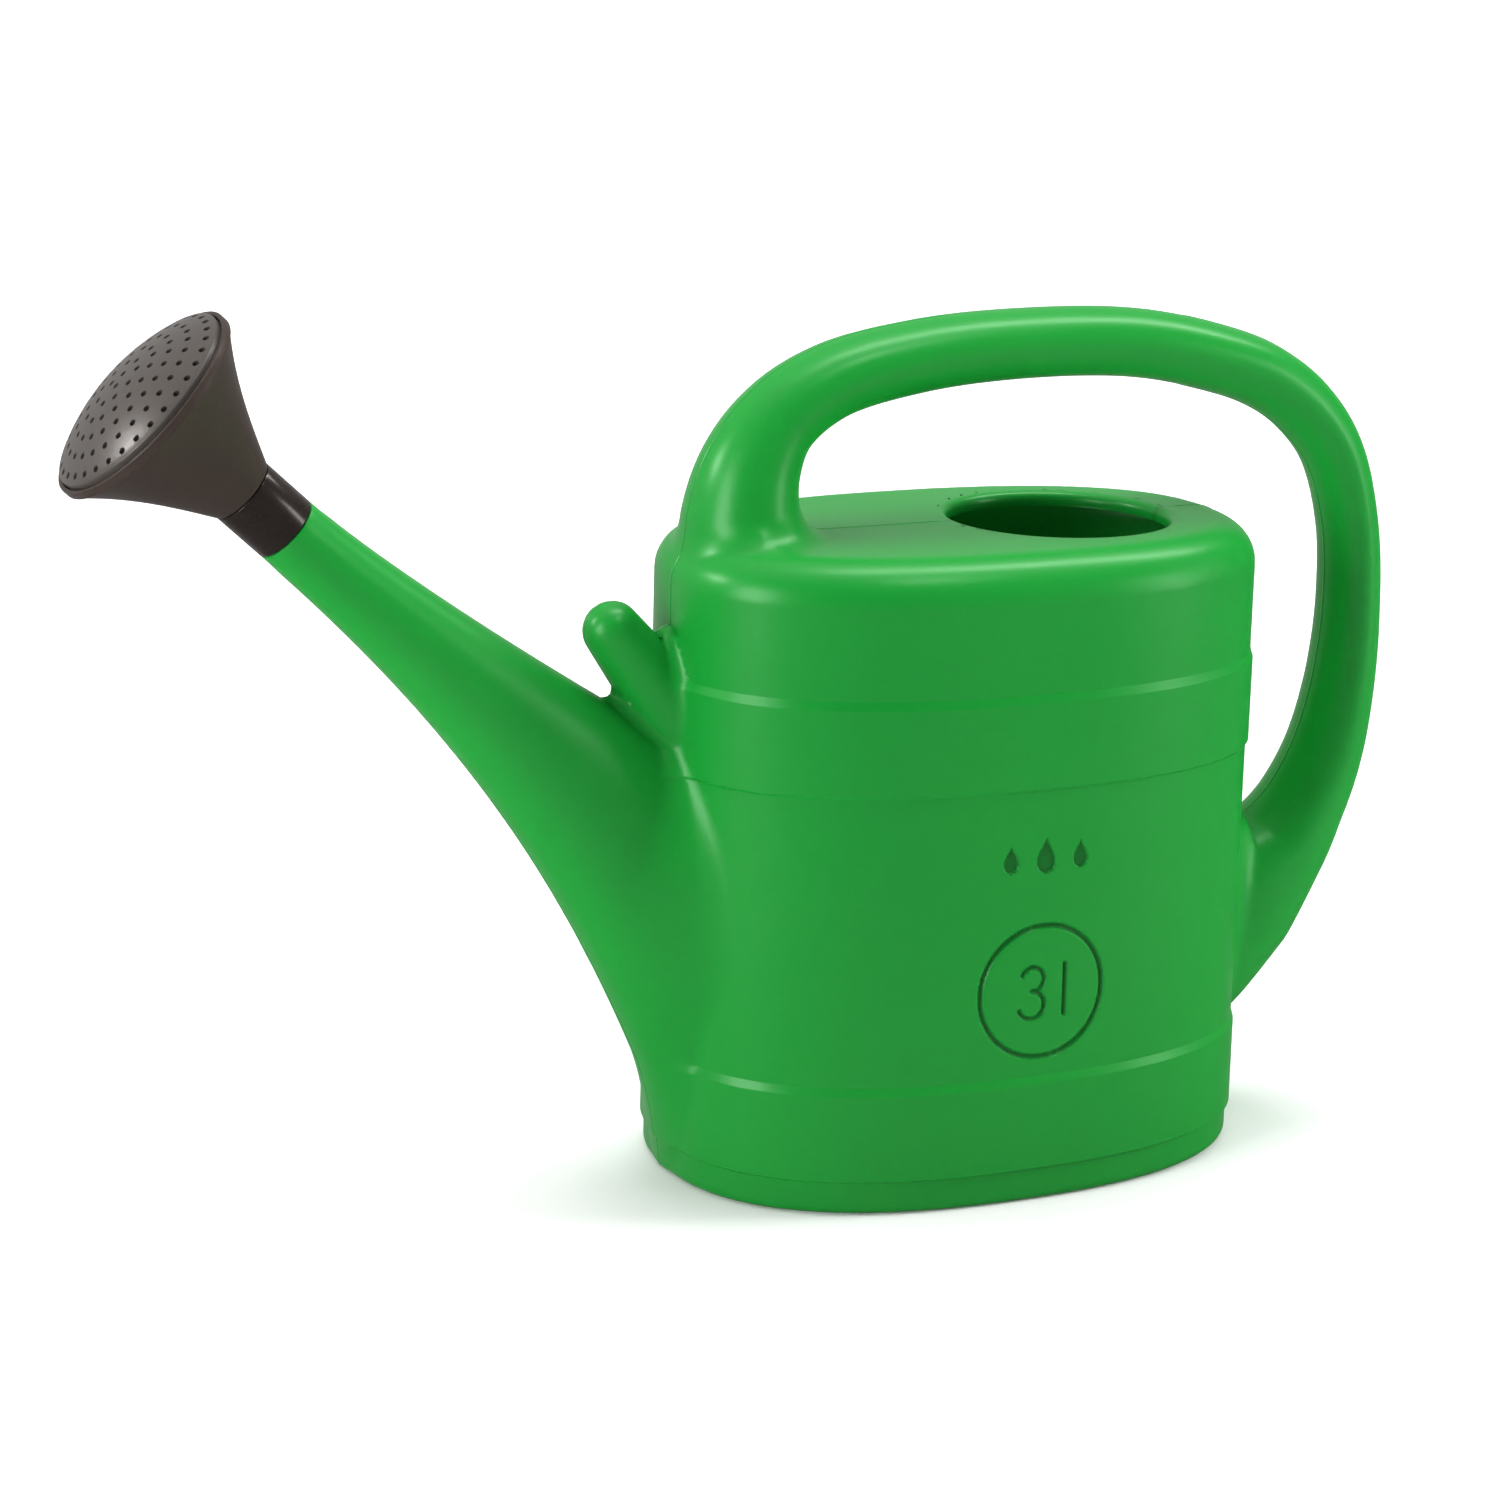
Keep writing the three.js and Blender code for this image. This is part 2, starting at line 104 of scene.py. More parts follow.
# ---- Sizes, colours and stage, as properties of the scene ----

def length(label, default, description):
    return FloatProperty(
        name=label, description=description, default=default, min=0.0, subtype="DISTANCE",
        unit="LENGTH", precision=5)


def number(label, default, description):
    return FloatProperty(name=label, description=description, default=default, precision=4)


def angle(label, degrees, description):
    return FloatProperty(
        name=label, description=description, default=math.radians(degrees), subtype="ANGLE")


def colour(label, default, description):
    return FloatVectorProperty(
        name=label, description=description, default=default, size=3, min=0.0, max=1.0,
        subtype="COLOR")


class CanSizes(bpy.types.PropertyGroup):
    tank_length: length("Tank length", 0.180, "Plan length of the tank between its end walls")
    tank_width: length("Tank width", 0.122, "Plan width of the tank at floor level")
    squareness: number("Squareness", 2.4, "Exponent of the plan outline, where 2 is an ellipse")
    side_draft: number("Side draft", 0.023, "Inward lean of front and back, per unit of height")
    wall: length("Wall", 0.0016, "Thickness of the moulded wall")
    deck_radius: length("Deck edge radius", 0.0125, "Round between the walls and the deck")
    foot_radius: length("Foot edge radius", 0.0025, "Round at the bottom edge")
    foot_inset: length("Foot inset", 0.0003, "Set-back of the foot below the lower band")
    foot_height: length("Foot height", 0.010, "Height of the step above the foot")
    foot_ring: length("Foot ring width", 0.008, "Width of the ring that the can stands on")
    base_recess: length("Base recess", 0.003, "Depth of the hollow inside the foot ring")
    band_proud: length("Band height", 0.0008, "How far the two bands stand proud of the wall")
    band_ledge: length("Band ledge", 0.0024, "Height of the sloping top edge of a band")
    band_step: length("Band step", 0.0008, "Height of the bottom edge of a band")
    lower_band_top: length("Lower band top", 0.038, "Height of the top of the lower band")
    upper_band_drop: length("Upper band drop", 0.038, "From the deck to the upper band")
    upper_band_height: length("Upper band height", 0.027, "Height of the upper band")
    filler_radius: length("Filler radius", 0.0325, "Radius of the filler opening")
    filler_x: length("Filler position", 0.032, "Centre of the filler behind the tank's middle")
    filler_lip: length("Filler lip", 0.0045, "Depth of the turned-in lip")
    filler_round: length("Filler lip round", 0.0025, "Round at the top of the lip")
    tip_radius: length("Spout tip radius", 0.0098, "Outside radius of the spout at its shoulder")
    root_half_width: length("Spout root", 0.020, "Half-width of the spout at the tank")
    keel_height: length("Keel height", 0.015, "Where the spout's underside meets the end wall")
    keel_angle: angle("Keel angle", 69, "Steepness of the spout's underside at the end wall")
    keel_tip_pull: length("Keel tip pull", 0.076, "Straight run of the underside at the tip")
    keel_root_pull: length("Keel root pull", 0.078, "Straight run of the underside at the wall")
    ridge_drop: length("Ridge drop", 0.057, "Depth below the deck where the spout's top ends")
    ridge_angle: angle("Ridge angle", 31, "Slope of the spout's top at the end wall")
    ridge_tip_pull: length("Ridge tip pull", 0.026, "Straight run of the top at the tip")
    ridge_root_pull: length("Ridge root pull", 0.040, "Straight run of the top at the wall")
    spigot_radius: length("Spigot radius", 0.0082, "Radius of the spigot under the collar")
    spigot_length: length("Spigot length", 0.015, "Length of the spigot beyond the shoulder")
    peg_radius: length("Peg radius", 0.0083, "Radius of the rose peg's round tip")
    peg_root_radius: length("Peg root radius", 0.012, "Radius of the rose peg at its root")
    peg_angle: angle("Peg angle", 52, "Rise of the rose peg above horizontal")
    peg_reach: length("Peg reach", 0.0176, "From the end wall to the peg tip's centre")
    peg_drop: length("Peg drop", 0.025, "Depth of the peg tip's centre below the deck")
    peg_length: length("Peg length", 0.036, "From the tip's centre to the buried root")
    spout_fillet: length("Spout fillet", 0.008, "Rolling-ball fillet from spout to tank")
    flank_widening: length("Flank widening", 0.017, "Growth of that fillet down the flanks")
    handle_fillet: length("Handle fillet", 0.009, "Rolling-ball fillet from handle to tank")
    peg_fillet: length("Peg fillet", 0.0035, "Rolling-ball fillet round the rose peg")
    seam_height: length("Seam height", 0.00022, "Height of the mould's parting line")
    seam_width: length("Seam width", 0.00035, "Half-width of the mould's parting line")
    mark_x: length("Mark position", 0.0015, "Centre of the capacity mark from mid-tank")
    mark_z: length("Mark height", 0.063, "Centre of the capacity mark above the floor")
    mark_radius: length("Mark radius", 0.0194, "Radius of the capacity mark's ring")
    mark_depth: length("Mark depth", 0.0009, "Depth of the engraved capacity mark")


class RoseSizes(bpy.types.PropertyGroup):
    clearance: length("Clearance", 0.0003, "Play between sliding and turning pieces")
    collar_wall: length("Collar wall", 0.0013, "Wall of the collar")
    collar_length: length("Collar length", 0.016, "Length of the collar over the spigot")
    neck_radius: length("Neck radius", 0.0073, "Radius of the neck the funnel turns on")
    neck_length: length("Neck length", 0.007, "Length of the collar's neck")
    neck_bead: length("Neck bead", 0.0007, "Height of the bead that holds the funnel")
    wall: length("Rose wall", 0.0014, "Wall of the funnel and the face")
    rim_radius: length("Rim radius", 0.0308, "Radius of the funnel's rim")
    rim_depth: length("Rim depth", 0.0026, "Depth of the ring round the face")
    funnel_length: length("Funnel length", 0.0365, "Length of the funnel along the spout")
    face_dome: length("Face dome", 0.007, "Height of the domed face")
    face_proud: length("Face step", 0.0014, "How far the face's edge stands out of the rim")
    hole_radius: length("Hole radius", 0.0009, "Radius of a hole in the face")
    hole_pitch: length("Hole pitch", 0.0049, "Distance between rings of holes")
    hole_rings: IntProperty(name="Hole rings", description="Rings of holes", default=6, min=1)
    first_holes: IntProperty(
        name="First ring", description="Holes in the innermost ring", default=3, min=1)
    added_holes: IntProperty(
        name="Added holes", description="Holes added from ring to ring", default=6, min=1)


class Looks(bpy.types.PropertyGroup):
    green: colour("Green", (0.005, 0.25, 0.026), "Colour of the moulded can")
    green_light: colour("Green, bleached", (0.018, 0.30, 0.036), "Paler patches of the can")
    black: colour("Black", (0.013, 0.0095, 0.008), "Colour of the collar and funnel")
    grey: colour("Face grey", (0.048, 0.042, 0.038), "Colour of the rose's face")
    floor: colour("Floor", (0.86, 0.86, 0.86), "Colour of the floor")


class StageSizes(bpy.types.PropertyGroup):
    azimuth: angle("Azimuth", 24.0, "Heading of the camera, from +Y towards +X")
    elevation: angle("Elevation", 15.1, "Height angle of the camera above the object")
    roll: angle("Roll", 1.43, "Turn of the camera about its own axis")
    distance: length("Distance", 1.09, "From the camera to its target")
    target: FloatVectorProperty(
        name="Target", description="Point that the camera looks at",
        default=(0.0062, 0.0258, 0.1166), size=3, subtype="XYZ", unit="LENGTH")
    backdrop_light: number("Backdrop light", 0.5, "Strength of the white surroundings behind")
    room_light: number("Room light", 0.10, "Strength of the dim room behind the camera")
    lens: FloatProperty(
        name="Lens", description="Focal length for a 36 mm wide sensor", default=88.94)


# Handle stations, front to rear: centre of the section, half its thickness in the mid-plane and
# half its width. The first column counts from the front end wall, the rear end wall or the
# middle of the tank; the second from the deck or the floor.
HANDLE_STATIONS = (
    ("front", 22.0, "deck", -15.0, 18.0, 21.0),
    ("front", 20.8, "deck", 4.5, 16.6, 19.0),
    ("front", 23.6, "deck", 19.5, 14.2, 15.8),
    ("front", 31.2, "deck", 32.0, 11.8, 13.6),
    ("front", 46.5, "deck", 41.9, 10.8, 12.6),
    ("front", 74.0, "deck", 48.2, 10.4, 12.2),
    ("middle", 18.0, "deck", 50.6, 10.1, 12.0),
    ("rear", -36.0, "deck", 49.4, 10.0, 12.0),
    ("rear", -10.0, "deck", 44.2, 9.9, 12.0),
    ("rear", 8.0, "deck", 38.0, 9.8, 11.9),
    ("rear", 22.2, "deck", 28.7, 9.6, 11.8),
    ("rear", 34.0, "deck", 14.5, 9.0, 11.6),
    ("rear", 41.5, "deck", -8.0, 8.6, 11.5),
    ("rear", 43.8, "deck", -33.0, 8.9, 11.8),
    ("rear", 42.7, "floor", 130.0, 10.0, 12.4),
    ("rear", 38.4, "floor", 108.0, 11.7, 13.2),
    ("rear", 31.6, "floor", 92.0, 13.4, 14.4),
    ("rear", 23.4, "floor", 79.5, 16.6, 16.0),
    ("rear", 10.0, "floor", 66.5, 23.4, 18.0),
    ("rear", -8.0, "floor", 50.5, 26.0, 19.0),
    ("rear", -24.0, "floor", 34.0, 21.0, 17.0),
)


# ---- Tubes of oval section whose centre lines stay in the mid-plane ----
# A tube is an array with one row a station: centre x and z, upward x and z, half-height,
# half-width, and how squarely the low and the high side run along the tube.

def spaced_curve(points, steps):
    """Centripetal Catmull-Rom curve through rows of numbers, with equal steps a span."""
    points = np.asarray(points, float)
    first = 2 * points[0] - points[1]
    last = 2 * points[-1] - points[-2]
    points = np.vstack([first, points, last])
    part = np.linspace(0, 1, steps, endpoint=False)[:, None]
    rows = []
    for a, b, c, d in zip(points, points[1:], points[2:], points[3:]):
        gaps = [max(np.linalg.norm(q - p), 1e-6) ** 0.5 for p, q in ((a, b), (b, c), (c, d))]
        before, here, after = gaps
        start = (b - a) / before - (c - a) / (before + here) + (c - b) / here
        end = (c - b) / here - (d - b) / (here + after) + (d - c) / after
        start = start * here
        end = end * here
        square = 3 * (c - b) - 2 * start - end
        cube = 2 * (b - c) + start + end
        rows.append(b + part * (start + part * (square + part * cube)))
    rows.append(points[-2:-1])
    return np.vstack(rows)


def handle_tube(sizes):
    """Stations of the handle, from its buried front root over the top to its rear root."""
    across = {"front": -sizes.tank_length / 2, "middle": 0.0, "rear": sizes.tank_length / 2}
    height = {"deck": DECK_HEIGHT, "floor": 0.0}
    centres = []
    halves = []
    for end, x, level, z, thick, wide in HANDLE_STATIONS:
        centres.append((across[end] + x * MM, height[level] + z * MM))
        halves.append((thick * MM, wide * MM))
    centres = spaced_curve(centres, 10)
    halves = spaced_curve(halves, 10)
    along = np.gradient(centres, axis=0)
    along /= np.linalg.norm(along, axis=1)[:, None]
    up = np.stack([-along[:, 1], along[:, 0]], 1)
    square = np.ones((len(centres), 2))
    return np.hstack([centres, up, halves, square])


def bezier(points, t):
    a, b, c, d = (np.asarray(point, float) for point in points)
    t = t[:, None]
    s = 1 - t
    return s ** 3 * a + 3 * s * s * t * b + 3 * s * t * t * c + t ** 3 * d


def spout_tube(sizes):
    """Stations of the spout from beyond its tip to inside the tank."""
    shoulder = np.array([SHOULDER_X, SPOUT_SHOULDER.z])
    axis = np.array([SPOUT_AXIS.x, SPOUT_AXIS.z])
    outward = np.array([axis[1], -axis[0]])
    end_x = -sizes.tank_length / 2

    def side_curve(side, root_height, root_angle, tip_pull, root_pull, t):
        tip = shoulder + outward * sizes.tip_radius * side
        root = np.array([end_x, root_height])
        back = np.array([-math.cos(root_angle), math.sin(root_angle)])
        return bezier((tip, tip - axis * tip_pull, root + back * root_pull, root), t)

    t = np.linspace(0, 1, 90)
    keel = side_curve(
        -1, sizes.keel_height, sizes.keel_angle, sizes.keel_tip_pull, sizes.keel_root_pull, t)
    ridge = side_curve(
        1, DECK_HEIGHT - sizes.ridge_drop, sizes.ridge_angle, sizes.ridge_tip_pull,
        sizes.ridge_root_pull, t)
    chord = ridge - keel
    span = np.linalg.norm(chord, axis=1)[:, None]
    up = chord / span
    along = np.stack([up[:, 1], -up[:, 0]], 1)
    widening = (t * t * (3 - 2 * t))[:, None]
    half_width = sizes.tip_radius + (sizes.root_half_width - sizes.tip_radius) * widening
    square = []
    for curve in (keel, ridge):
        run = np.gradient(curve, axis=0)
        run /= np.linalg.norm(run, axis=1)[:, None]
        square.append((run * along).sum(1)[:, None])
    rows = np.hstack([(keel + ridge) / 2, up, span / 2, half_width, *square])
    before = np.repeat(rows[:1], 5, axis=0)
    before[:, :2] += np.arange(5, 0, -1)[:, None] * 2 * MM * axis
    after = np.repeat(rows[-1:], 10, axis=0)
    after[:, 0] += np.arange(1, 11) * 2 * MM
    return np.vstack([before, rows, after])


def between_stations(rows, station):
    """Rows of a tube at fractional stations, by a cubic through the four nearest."""
    index = np.clip(station.astype(int), 1, len(rows) - 3)
    part = (station - index)[:, None]
    a, b, c, d = (rows[index + step] for step in (-1, 0, 1, 2))
    cube = 3 * (b - c) + d - a
    square = 2 * a - 5 * b + 4 * c - d + part * cube
    return b + 0.5 * part * (c - a + part * square)


def locate(rows, flat):
    """Tube row that each mid-plane point belongs to, and whether it belongs to one."""
    centre = rows[:, 0:2]
    up = rows[:, 2:4]
    along = np.stack([up[:, 1], -up[:, 0]], 1)
    result = np.zeros((len(flat), rows.shape[1]))
    found = np.zeros(len(flat), bool)
    block = 20000
    for start in range(0, len(flat), block):
        points = flat[start:start + block]
        count = np.arange(len(points))
        ahead = points @ along.T - (centre * along).sum(1)
        aside = np.abs(points @ up.T - (centre * up).sum(1))
        passed = (ahead[:, :-1] >= 0) & (ahead[:, 1:] < 0)
        pick = np.where(passed, aside[:, :-1], np.inf).argmin(1)
        hit = passed[count, pick]
        first = ahead[count, pick]
        stride = np.where(hit, first - ahead[count, pick + 1], 1.0)
        station = pick + np.where(hit, first / stride, 0)
        for _ in range(2):
            row = between_stations(rows, station)
            forward = np.stack([row[:, 3], -row[:, 2]], 1)
            miss = ((points - row[:, :2]) * forward).sum(1)
            station = station + np.where(hit, miss / stride, 0)
            station = np.clip(station, 0, len(rows) - 1.001)
        result[start:start + block] = between_stations(rows, station)
        found[start:start + block] = hit
    return result, found


def tube_distance(rows, x, y, z, inset):
    """Distance outside a tube, and its outward direction, for arrays of points."""
    x, z = np.broadcast_arrays(x, z)
    shape = x.shape
    row, found = locate(rows, np.stack([x.ravel(), z.ravel()], 1))
    row = [column.reshape(shape) for column in row.T]
    centre_x, centre_z, up_x, up_z, half_height, half_width, low, high = row
    half_height = half_height - inset
    half_width = half_width - inset
    rise = (x - centre_x) * up_x + (z - centre_z) * up_z
    level = np.sqrt((rise / half_height) ** 2 + (y / half_width) ** 2 + TINY)
    steep_up = rise / half_height ** 2
    steep_side = y / half_width ** 2
    steepness = np.sqrt(steep_up ** 2 + steep_side ** 2 + TINY)
    share = np.clip(0.5 + 0.5 * rise / half_height, 0, 1)
    square = low + (high - low) * share
    upright = np.abs(steep_up) / steepness
    distance = level * (level - 1) / steepness * (1 - upright * (1 - square))
    distance = np.where(found.reshape(shape), distance, FAR)
    direction = (
        steep_up / steepness * up_x,
        steep_side / steepness,
        steep_up / steepness * up_z,
    )
    return np.minimum(distance, FAR), direction


# ---- Tank and peg ----

def outline_depth(sizes, x, y, z):
    """How far inside the tank's plan outline each point is, and the outline's direction."""
    half_length = sizes.tank_length / 2
    half_width = sizes.tank_width / 2 - sizes.side_draft * z
    power = sizes.squareness
    across = np.abs(x) + TINY
    aside = np.abs(y) + TINY
    limit = half_width - 4 * MM
    depth = np.minimum(np.minimum(half_length - across, half_width - aside), limit)
    for _ in range(5):
        long = half_length - depth
        wide = half_width - depth
        share_x = (across / long) ** power
        share_y = (aside / wide) ** power
        slope = power * (share_x / long + share_y / wide)
        depth = np.minimum(depth - (share_x + share_y - 1) / slope, limit)
    normal_x = np.sign(x) * share_x / across
    normal_y = np.sign(y) * share_y / aside
    size = np.sqrt(normal_x ** 2 + normal_y ** 2 + TINY)
    return depth, normal_x / size, normal_y / size


def band_relief(sizes, z):
    """How far the wall stands out at each height: foot, lower band and upper band."""
    upper_top = DECK_HEIGHT - sizes.upper_band_drop
    upper_bottom = upper_top - sizes.upper_band_height
    steps = (
        (sizes.foot_height - 0.2 * MM, -sizes.foot_inset),
        (sizes.foot_height + 0.2 * MM, sizes.band_proud),
        (sizes.lower_band_top - sizes.band_ledge, sizes.band_proud),
        (sizes.lower_band_top, 0.0),
        (upper_bottom - sizes.band_step, 0.0),
        (upper_bottom, sizes.band_proud),
        (upper_top - sizes.band_ledge, sizes.band_proud),
        (upper_top, 0.0),
    )
    heights, offsets = zip(*steps)
    return np.interp(z, heights, offsets)


def rounded_both(first, second, radius):
    """Distance to what lies inside two surfaces, with a round edge between them."""
    one = np.maximum(first + radius, 0)
    two = np.maximum(second + radius, 0)
    return np.minimum(np.maximum(first, second), -radius) + np.sqrt(one ** 2 + two ** 2), one, two


def tank_distance(sizes, x, y, z, inset):
    """Distance outside the tank, and its outward direction."""
    depth, normal_x, normal_y = outline_depth(sizes, x, y, z)
    if inset:
        side = inset - depth
        floor = sizes.base_recess + inset
    else:
        side = -depth - band_relief(sizes, z)
        floor = 0.0
    body, _, _ = rounded_both(side, floor - z, sizes.foot_radius)
    top = z - DECK_HEIGHT + inset
    body, lean_side, lean_top = rounded_both(body, top, sizes.deck_radius - inset)
    lean = np.sqrt(lean_side ** 2 + lean_top ** 2) + TINY
    wall_share = np.where(lean > 2 * TINY, lean_side / lean, 1.0)
    top_share = np.where(lean > 2 * TINY, lean_top / lean, 0.0)
    if not inset:
        ring = sizes.foot_inset + sizes.foot_radius + sizes.foot_ring
        recess, _, _ = rounded_both(ring + z - depth, z - sizes.base_recess, MM)
        body = np.maximum(body, -recess)
    return body, (normal_x * wall_share, normal_y * wall_share, top_share)


def peg_distance(sizes, x, y, z, inset):
    """Distance outside the rose peg, a round-ended cone, and its outward direction."""
    tip_x = -sizes.tank_length / 2 - sizes.peg_reach
    tip_z = DECK_HEIGHT - sizes.peg_drop
    run_x = math.cos(sizes.peg_angle)
    run_z = -math.sin(sizes.peg_angle)
    from_x = x - tip_x
    from_z = z - tip_z
    along = np.clip(from_x * run_x + from_z * run_z, 0, sizes.peg_length)
    off_x = from_x - along * run_x
    off_z = from_z - along * run_z
    away = np.sqrt(off_x ** 2 + y ** 2 + off_z ** 2) + TINY
    growth = sizes.peg_root_radius - sizes.peg_radius
    radius = sizes.peg_radius + growth * along / sizes.peg_length - inset
    return away - radius, (off_x / away, y / away, off_z / away)


def filleted(first, second, radius):
    """Union of two bodies with a rolling-ball fillet, whatever angle they meet at."""
    near, near_way = first
    far, far_way = second
    turn = sum(a * b for a, b in zip(near_way, far_way))
    turn = np.clip(turn, -0.95, 0.985)
    one = radius - near
    two = radius - far
    lean_one = one - turn * two
    lean_two = two - turn * one
    in_fillet = (lean_one > 0) & (lean_two > 0) & (one > 0) & (two > 0)
    ball = np.maximum(one ** 2 + two ** 2 - 2 * turn * one * two, 0) / (1 - turn ** 2)
    body = np.where(in_fillet, radius - np.sqrt(ball), np.minimum(near, far))
    share_one = np.where(in_fillet, lean_one, near <= far)
    share_two = np.where(in_fillet, lean_two, near > far)
    way = [share_one * a + share_two * b for a, b in zip(near_way, far_way)]
    size = np.sqrt(sum(part ** 2 for part in way)) + TINY
    return body, tuple(part / size for part in way)


def flank_fillet(sizes, z):
    """Fillet radius between spout and tank: small at ridge and keel, wide on the flanks."""
    ridge = DECK_HEIGHT - sizes.ridge_drop
    below_ridge = smooth_step((ridge - z) / (40 * MM))
    above_keel = smooth_step((z - sizes.lower_band_top - 4 * MM) / (32 * MM))
    return sizes.spout_fillet + sizes.flank_widening * below_ridge * above_keel


def can_distance(sizes, tubes, x, y, z, inset):
    """Distance outside the whole can, or outside its hollow where inset is the wall."""
    spout, handle = tubes
    body = tank_distance(sizes, x, y, z, inset)
    spout_body = tube_distance(spout, x, y, z, inset)
    body = filleted(body, spout_body, flank_fillet(sizes, z) + inset)
    handle_body = tube_distance(handle, x, y, z, inset)
    body = filleted(body, handle_body, sizes.handle_fillet + inset)
    peg = peg_distance(sizes, x, y, z, inset)
    return filleted(body, peg, sizes.peg_fillet + inset)[0]


# ---- Fine relief: parting line, capacity mark, drops ----

def smooth_step(value):
    value = np.clip(value, 0, 1)
    return value * value * (3 - 2 * value)


def arc_distance(u, v, centre, radius, start, end):
    """Distance to an arc that runs clockwise from one angle in degrees to another."""
    du = u - centre[0]
    dv = v - centre[1]
    turn = np.degrees(np.arctan2(dv, du))
    turned = (start - turn) % 360
    on_arc = turned <= start - end
    best = np.abs(np.hypot(du, dv) - radius)
    ends = []
    for degrees in (start, end):
        bend = math.radians(degrees)
        end_u = du - radius * math.cos(bend)
        end_v = dv - radius * math.sin(bend)
        ends.append(np.hypot(end_u, end_v))
    return np.where(on_arc, best, np.minimum(*ends))


def mark_relief(sizes, x, z):
    """Engraved ring round the numeral 3 and an upright stroke for litres, and three drops."""
    u = x - sizes.mark_x
    v = z - sizes.mark_z
    ring = np.abs(np.hypot(u, v) - sizes.mark_radius) - 0.35 * MM
    upper = arc_distance(u, v, (-3.0 * MM, 3.7 * MM), 3.55 * MM, 158, -90)
    lower = arc_distance(u, v, (-3.2 * MM, -3.9 * MM), 4.05 * MM, 90, -158)
    stroke = np.hypot(u - 7.3 * MM, np.maximum(np.abs(v) - 7.4 * MM, 0))
    figures = np.minimum(np.minimum(upper, lower), stroke) - 0.3 * MM
    line = np.minimum(ring, figures)
    groove = -sizes.mark_depth * smooth_step(1 - line / (0.75 * MM))
    for step in (-1, 0, 1):
        radius = (3.3 if step == 0 else 2.6) * MM
        du = np.abs(u - step * DROP_SPACING)
        dv = v - DROPS_ABOVE_RING
        tail = np.clip(dv / (2.3 * radius), 0, 1)
        belly = np.sqrt(np.clip(1 - (np.minimum(dv, 0) / radius) ** 2, 0, 1))
        half = radius * np.where(dv > 0, np.cos(tail * math.pi / 2) ** 1.35, belly)
        inside = (dv > -radius) & (dv < 2.3 * radius)
        drop = smooth_step((half - du) / (0.55 * MM)) * inside
        groove = np.minimum(groove, -0.8 * sizes.mark_depth * drop)
    return groove


def relief(sizes, x, y, z):
    """How far the fine detail stands out of the can's outside."""
    seam = sizes.seam_height * np.exp(-(y / sizes.seam_width) ** 2)
    from_filler = np.hypot(x - sizes.filler_x, y)
    fade = smooth_step((from_filler - sizes.filler_radius - 4 * MM) / (4 * MM))
    seam = seam * np.where(z > DECK_HEIGHT - 2 * MM, fade, 1.0) * (z > 1 * MM)
    past = (x - SHOULDER_X) * SPOUT_AXIS.x + (z - SPOUT_SHOULDER.z) * SPOUT_AXIS.z
    seam = seam * smooth_step((-past - 3 * MM) / (5 * MM))
    marked = (y < MARKS_FRONT) & (z < MARKS_HIGH) & (z > MARKS_LOW)
    return seam + np.where(marked, mark_relief(sizes, x, z), 0.0)


# ---- Tracing a skin ----

def grid_line(low, high, step, fine):
    """Ascending grid positions with extra ones from fine spans of (low, high, step)."""
    line = list(np.arange(low, high + step, step))
    for start, end, gap in fine:
        line = [value for value in line if not start - 0.45 * step < value < end + 0.45 * step]
        line.extend(np.arange(start, end + gap / 2, gap))
    return np.array(sorted(line))


def net_over(field, lines):
    """Surface-net vertices and outward quads where a field on a grid changes sign."""
    inside = field < 0
    cells = tuple(size - 1 for size in field.shape)
    full = np.ones(cells, bool)
    some = np.zeros(cells, bool)
    shifts = [(i, j, k) for i in (0, 1) for j in (0, 1) for k in (0, 1)]
    for shift in shifts:
        part = inside[tuple(slice(s, s + n) for s, n in zip(shift, cells))]
        full &= part
        some |= part
    mixed = some & ~full
    index = np.full(cells, -1)
    places = np.argwhere(mixed)
    index[mixed] = np.arange(len(places))
    total = np.zeros((len(places), 3))
    count = np.zeros(len(places))
    for axis in range(3):
        others = [other for other in range(3) if other != axis]
        for first in (0, 1):
            for second in (0, 1):
                start = places.copy()
                start[:, others[0]] += first
                start[:, others[1]] += second
                end = start.copy()
                end[:, axis] += 1
                low = field[tuple(start.T)]
                high = field[tuple(end.T)]
                cross = (low < 0) != (high < 0)
                part = low / np.where(cross, low - high, 1.0)
                point = np.stack([lines[a][start[:, a]] for a in range(3)], 1)
                step = lines[axis][end[:, axis]] - lines[axis][start[:, axis]]
                point[:, axis] += part * step
                total += point * cross[:, None]
                count += cross
    points = total / count[:, None]
    faces = []
    for axis in range(3):
        second, third = (axis + 1) % 3, (axis + 2) % 3
        low = [slice(None)] * 3
        high = [slice(None)] * 3
        low[axis] = slice(0, -1)
        high[axis] = slice(1, None)
        for other in (second, third):
            low[other] = slice(1, -1)
            high[other] = slice(1, -1)
        leaving = inside[tuple(low)] & ~inside[tuple(high)]
        entering = ~inside[tuple(low)] & inside[tuple(high)]
        for crossing, order in ((leaving, 1), (entering, -1)):
            base = np.argwhere(crossing)
            base[:, second] += 1
            base[:, third] += 1
            corners = []
            for back_second, back_third in ((1, 1), (0, 1), (0, 0), (1, 0)):
                cell = base.copy()
                cell[:, second] -= back_second
                cell[:, third] -= back_third
                corners.append(index[tuple(cell.T)])
            faces.append(np.stack(corners, 1)[:, ::order])
    return points, np.vstack(faces)


def slopes(distance, points, step):
    """Gradient of a distance function at points, by central differences."""
    result = np.zeros_like(points)
    for axis in range(3):
        shift = np.zeros(3)
        shift[axis] = step
        result[:, axis] = distance(points + shift) - distance(points - shift)
    return result / (2 * step)


def settle(distance, points, rounds=2, step=0.05 * MM):
    """Move points along the gradient onto the surface where the distance is zero."""
    for _ in range(rounds):
        gradient = slopes(distance, points, step)
        square = np.maximum((gradient ** 2).sum(1), 0.25)
        move = (distance(points) / square)[:, None] * gradient
        points = points - np.clip(move, -MM, MM)
    return points


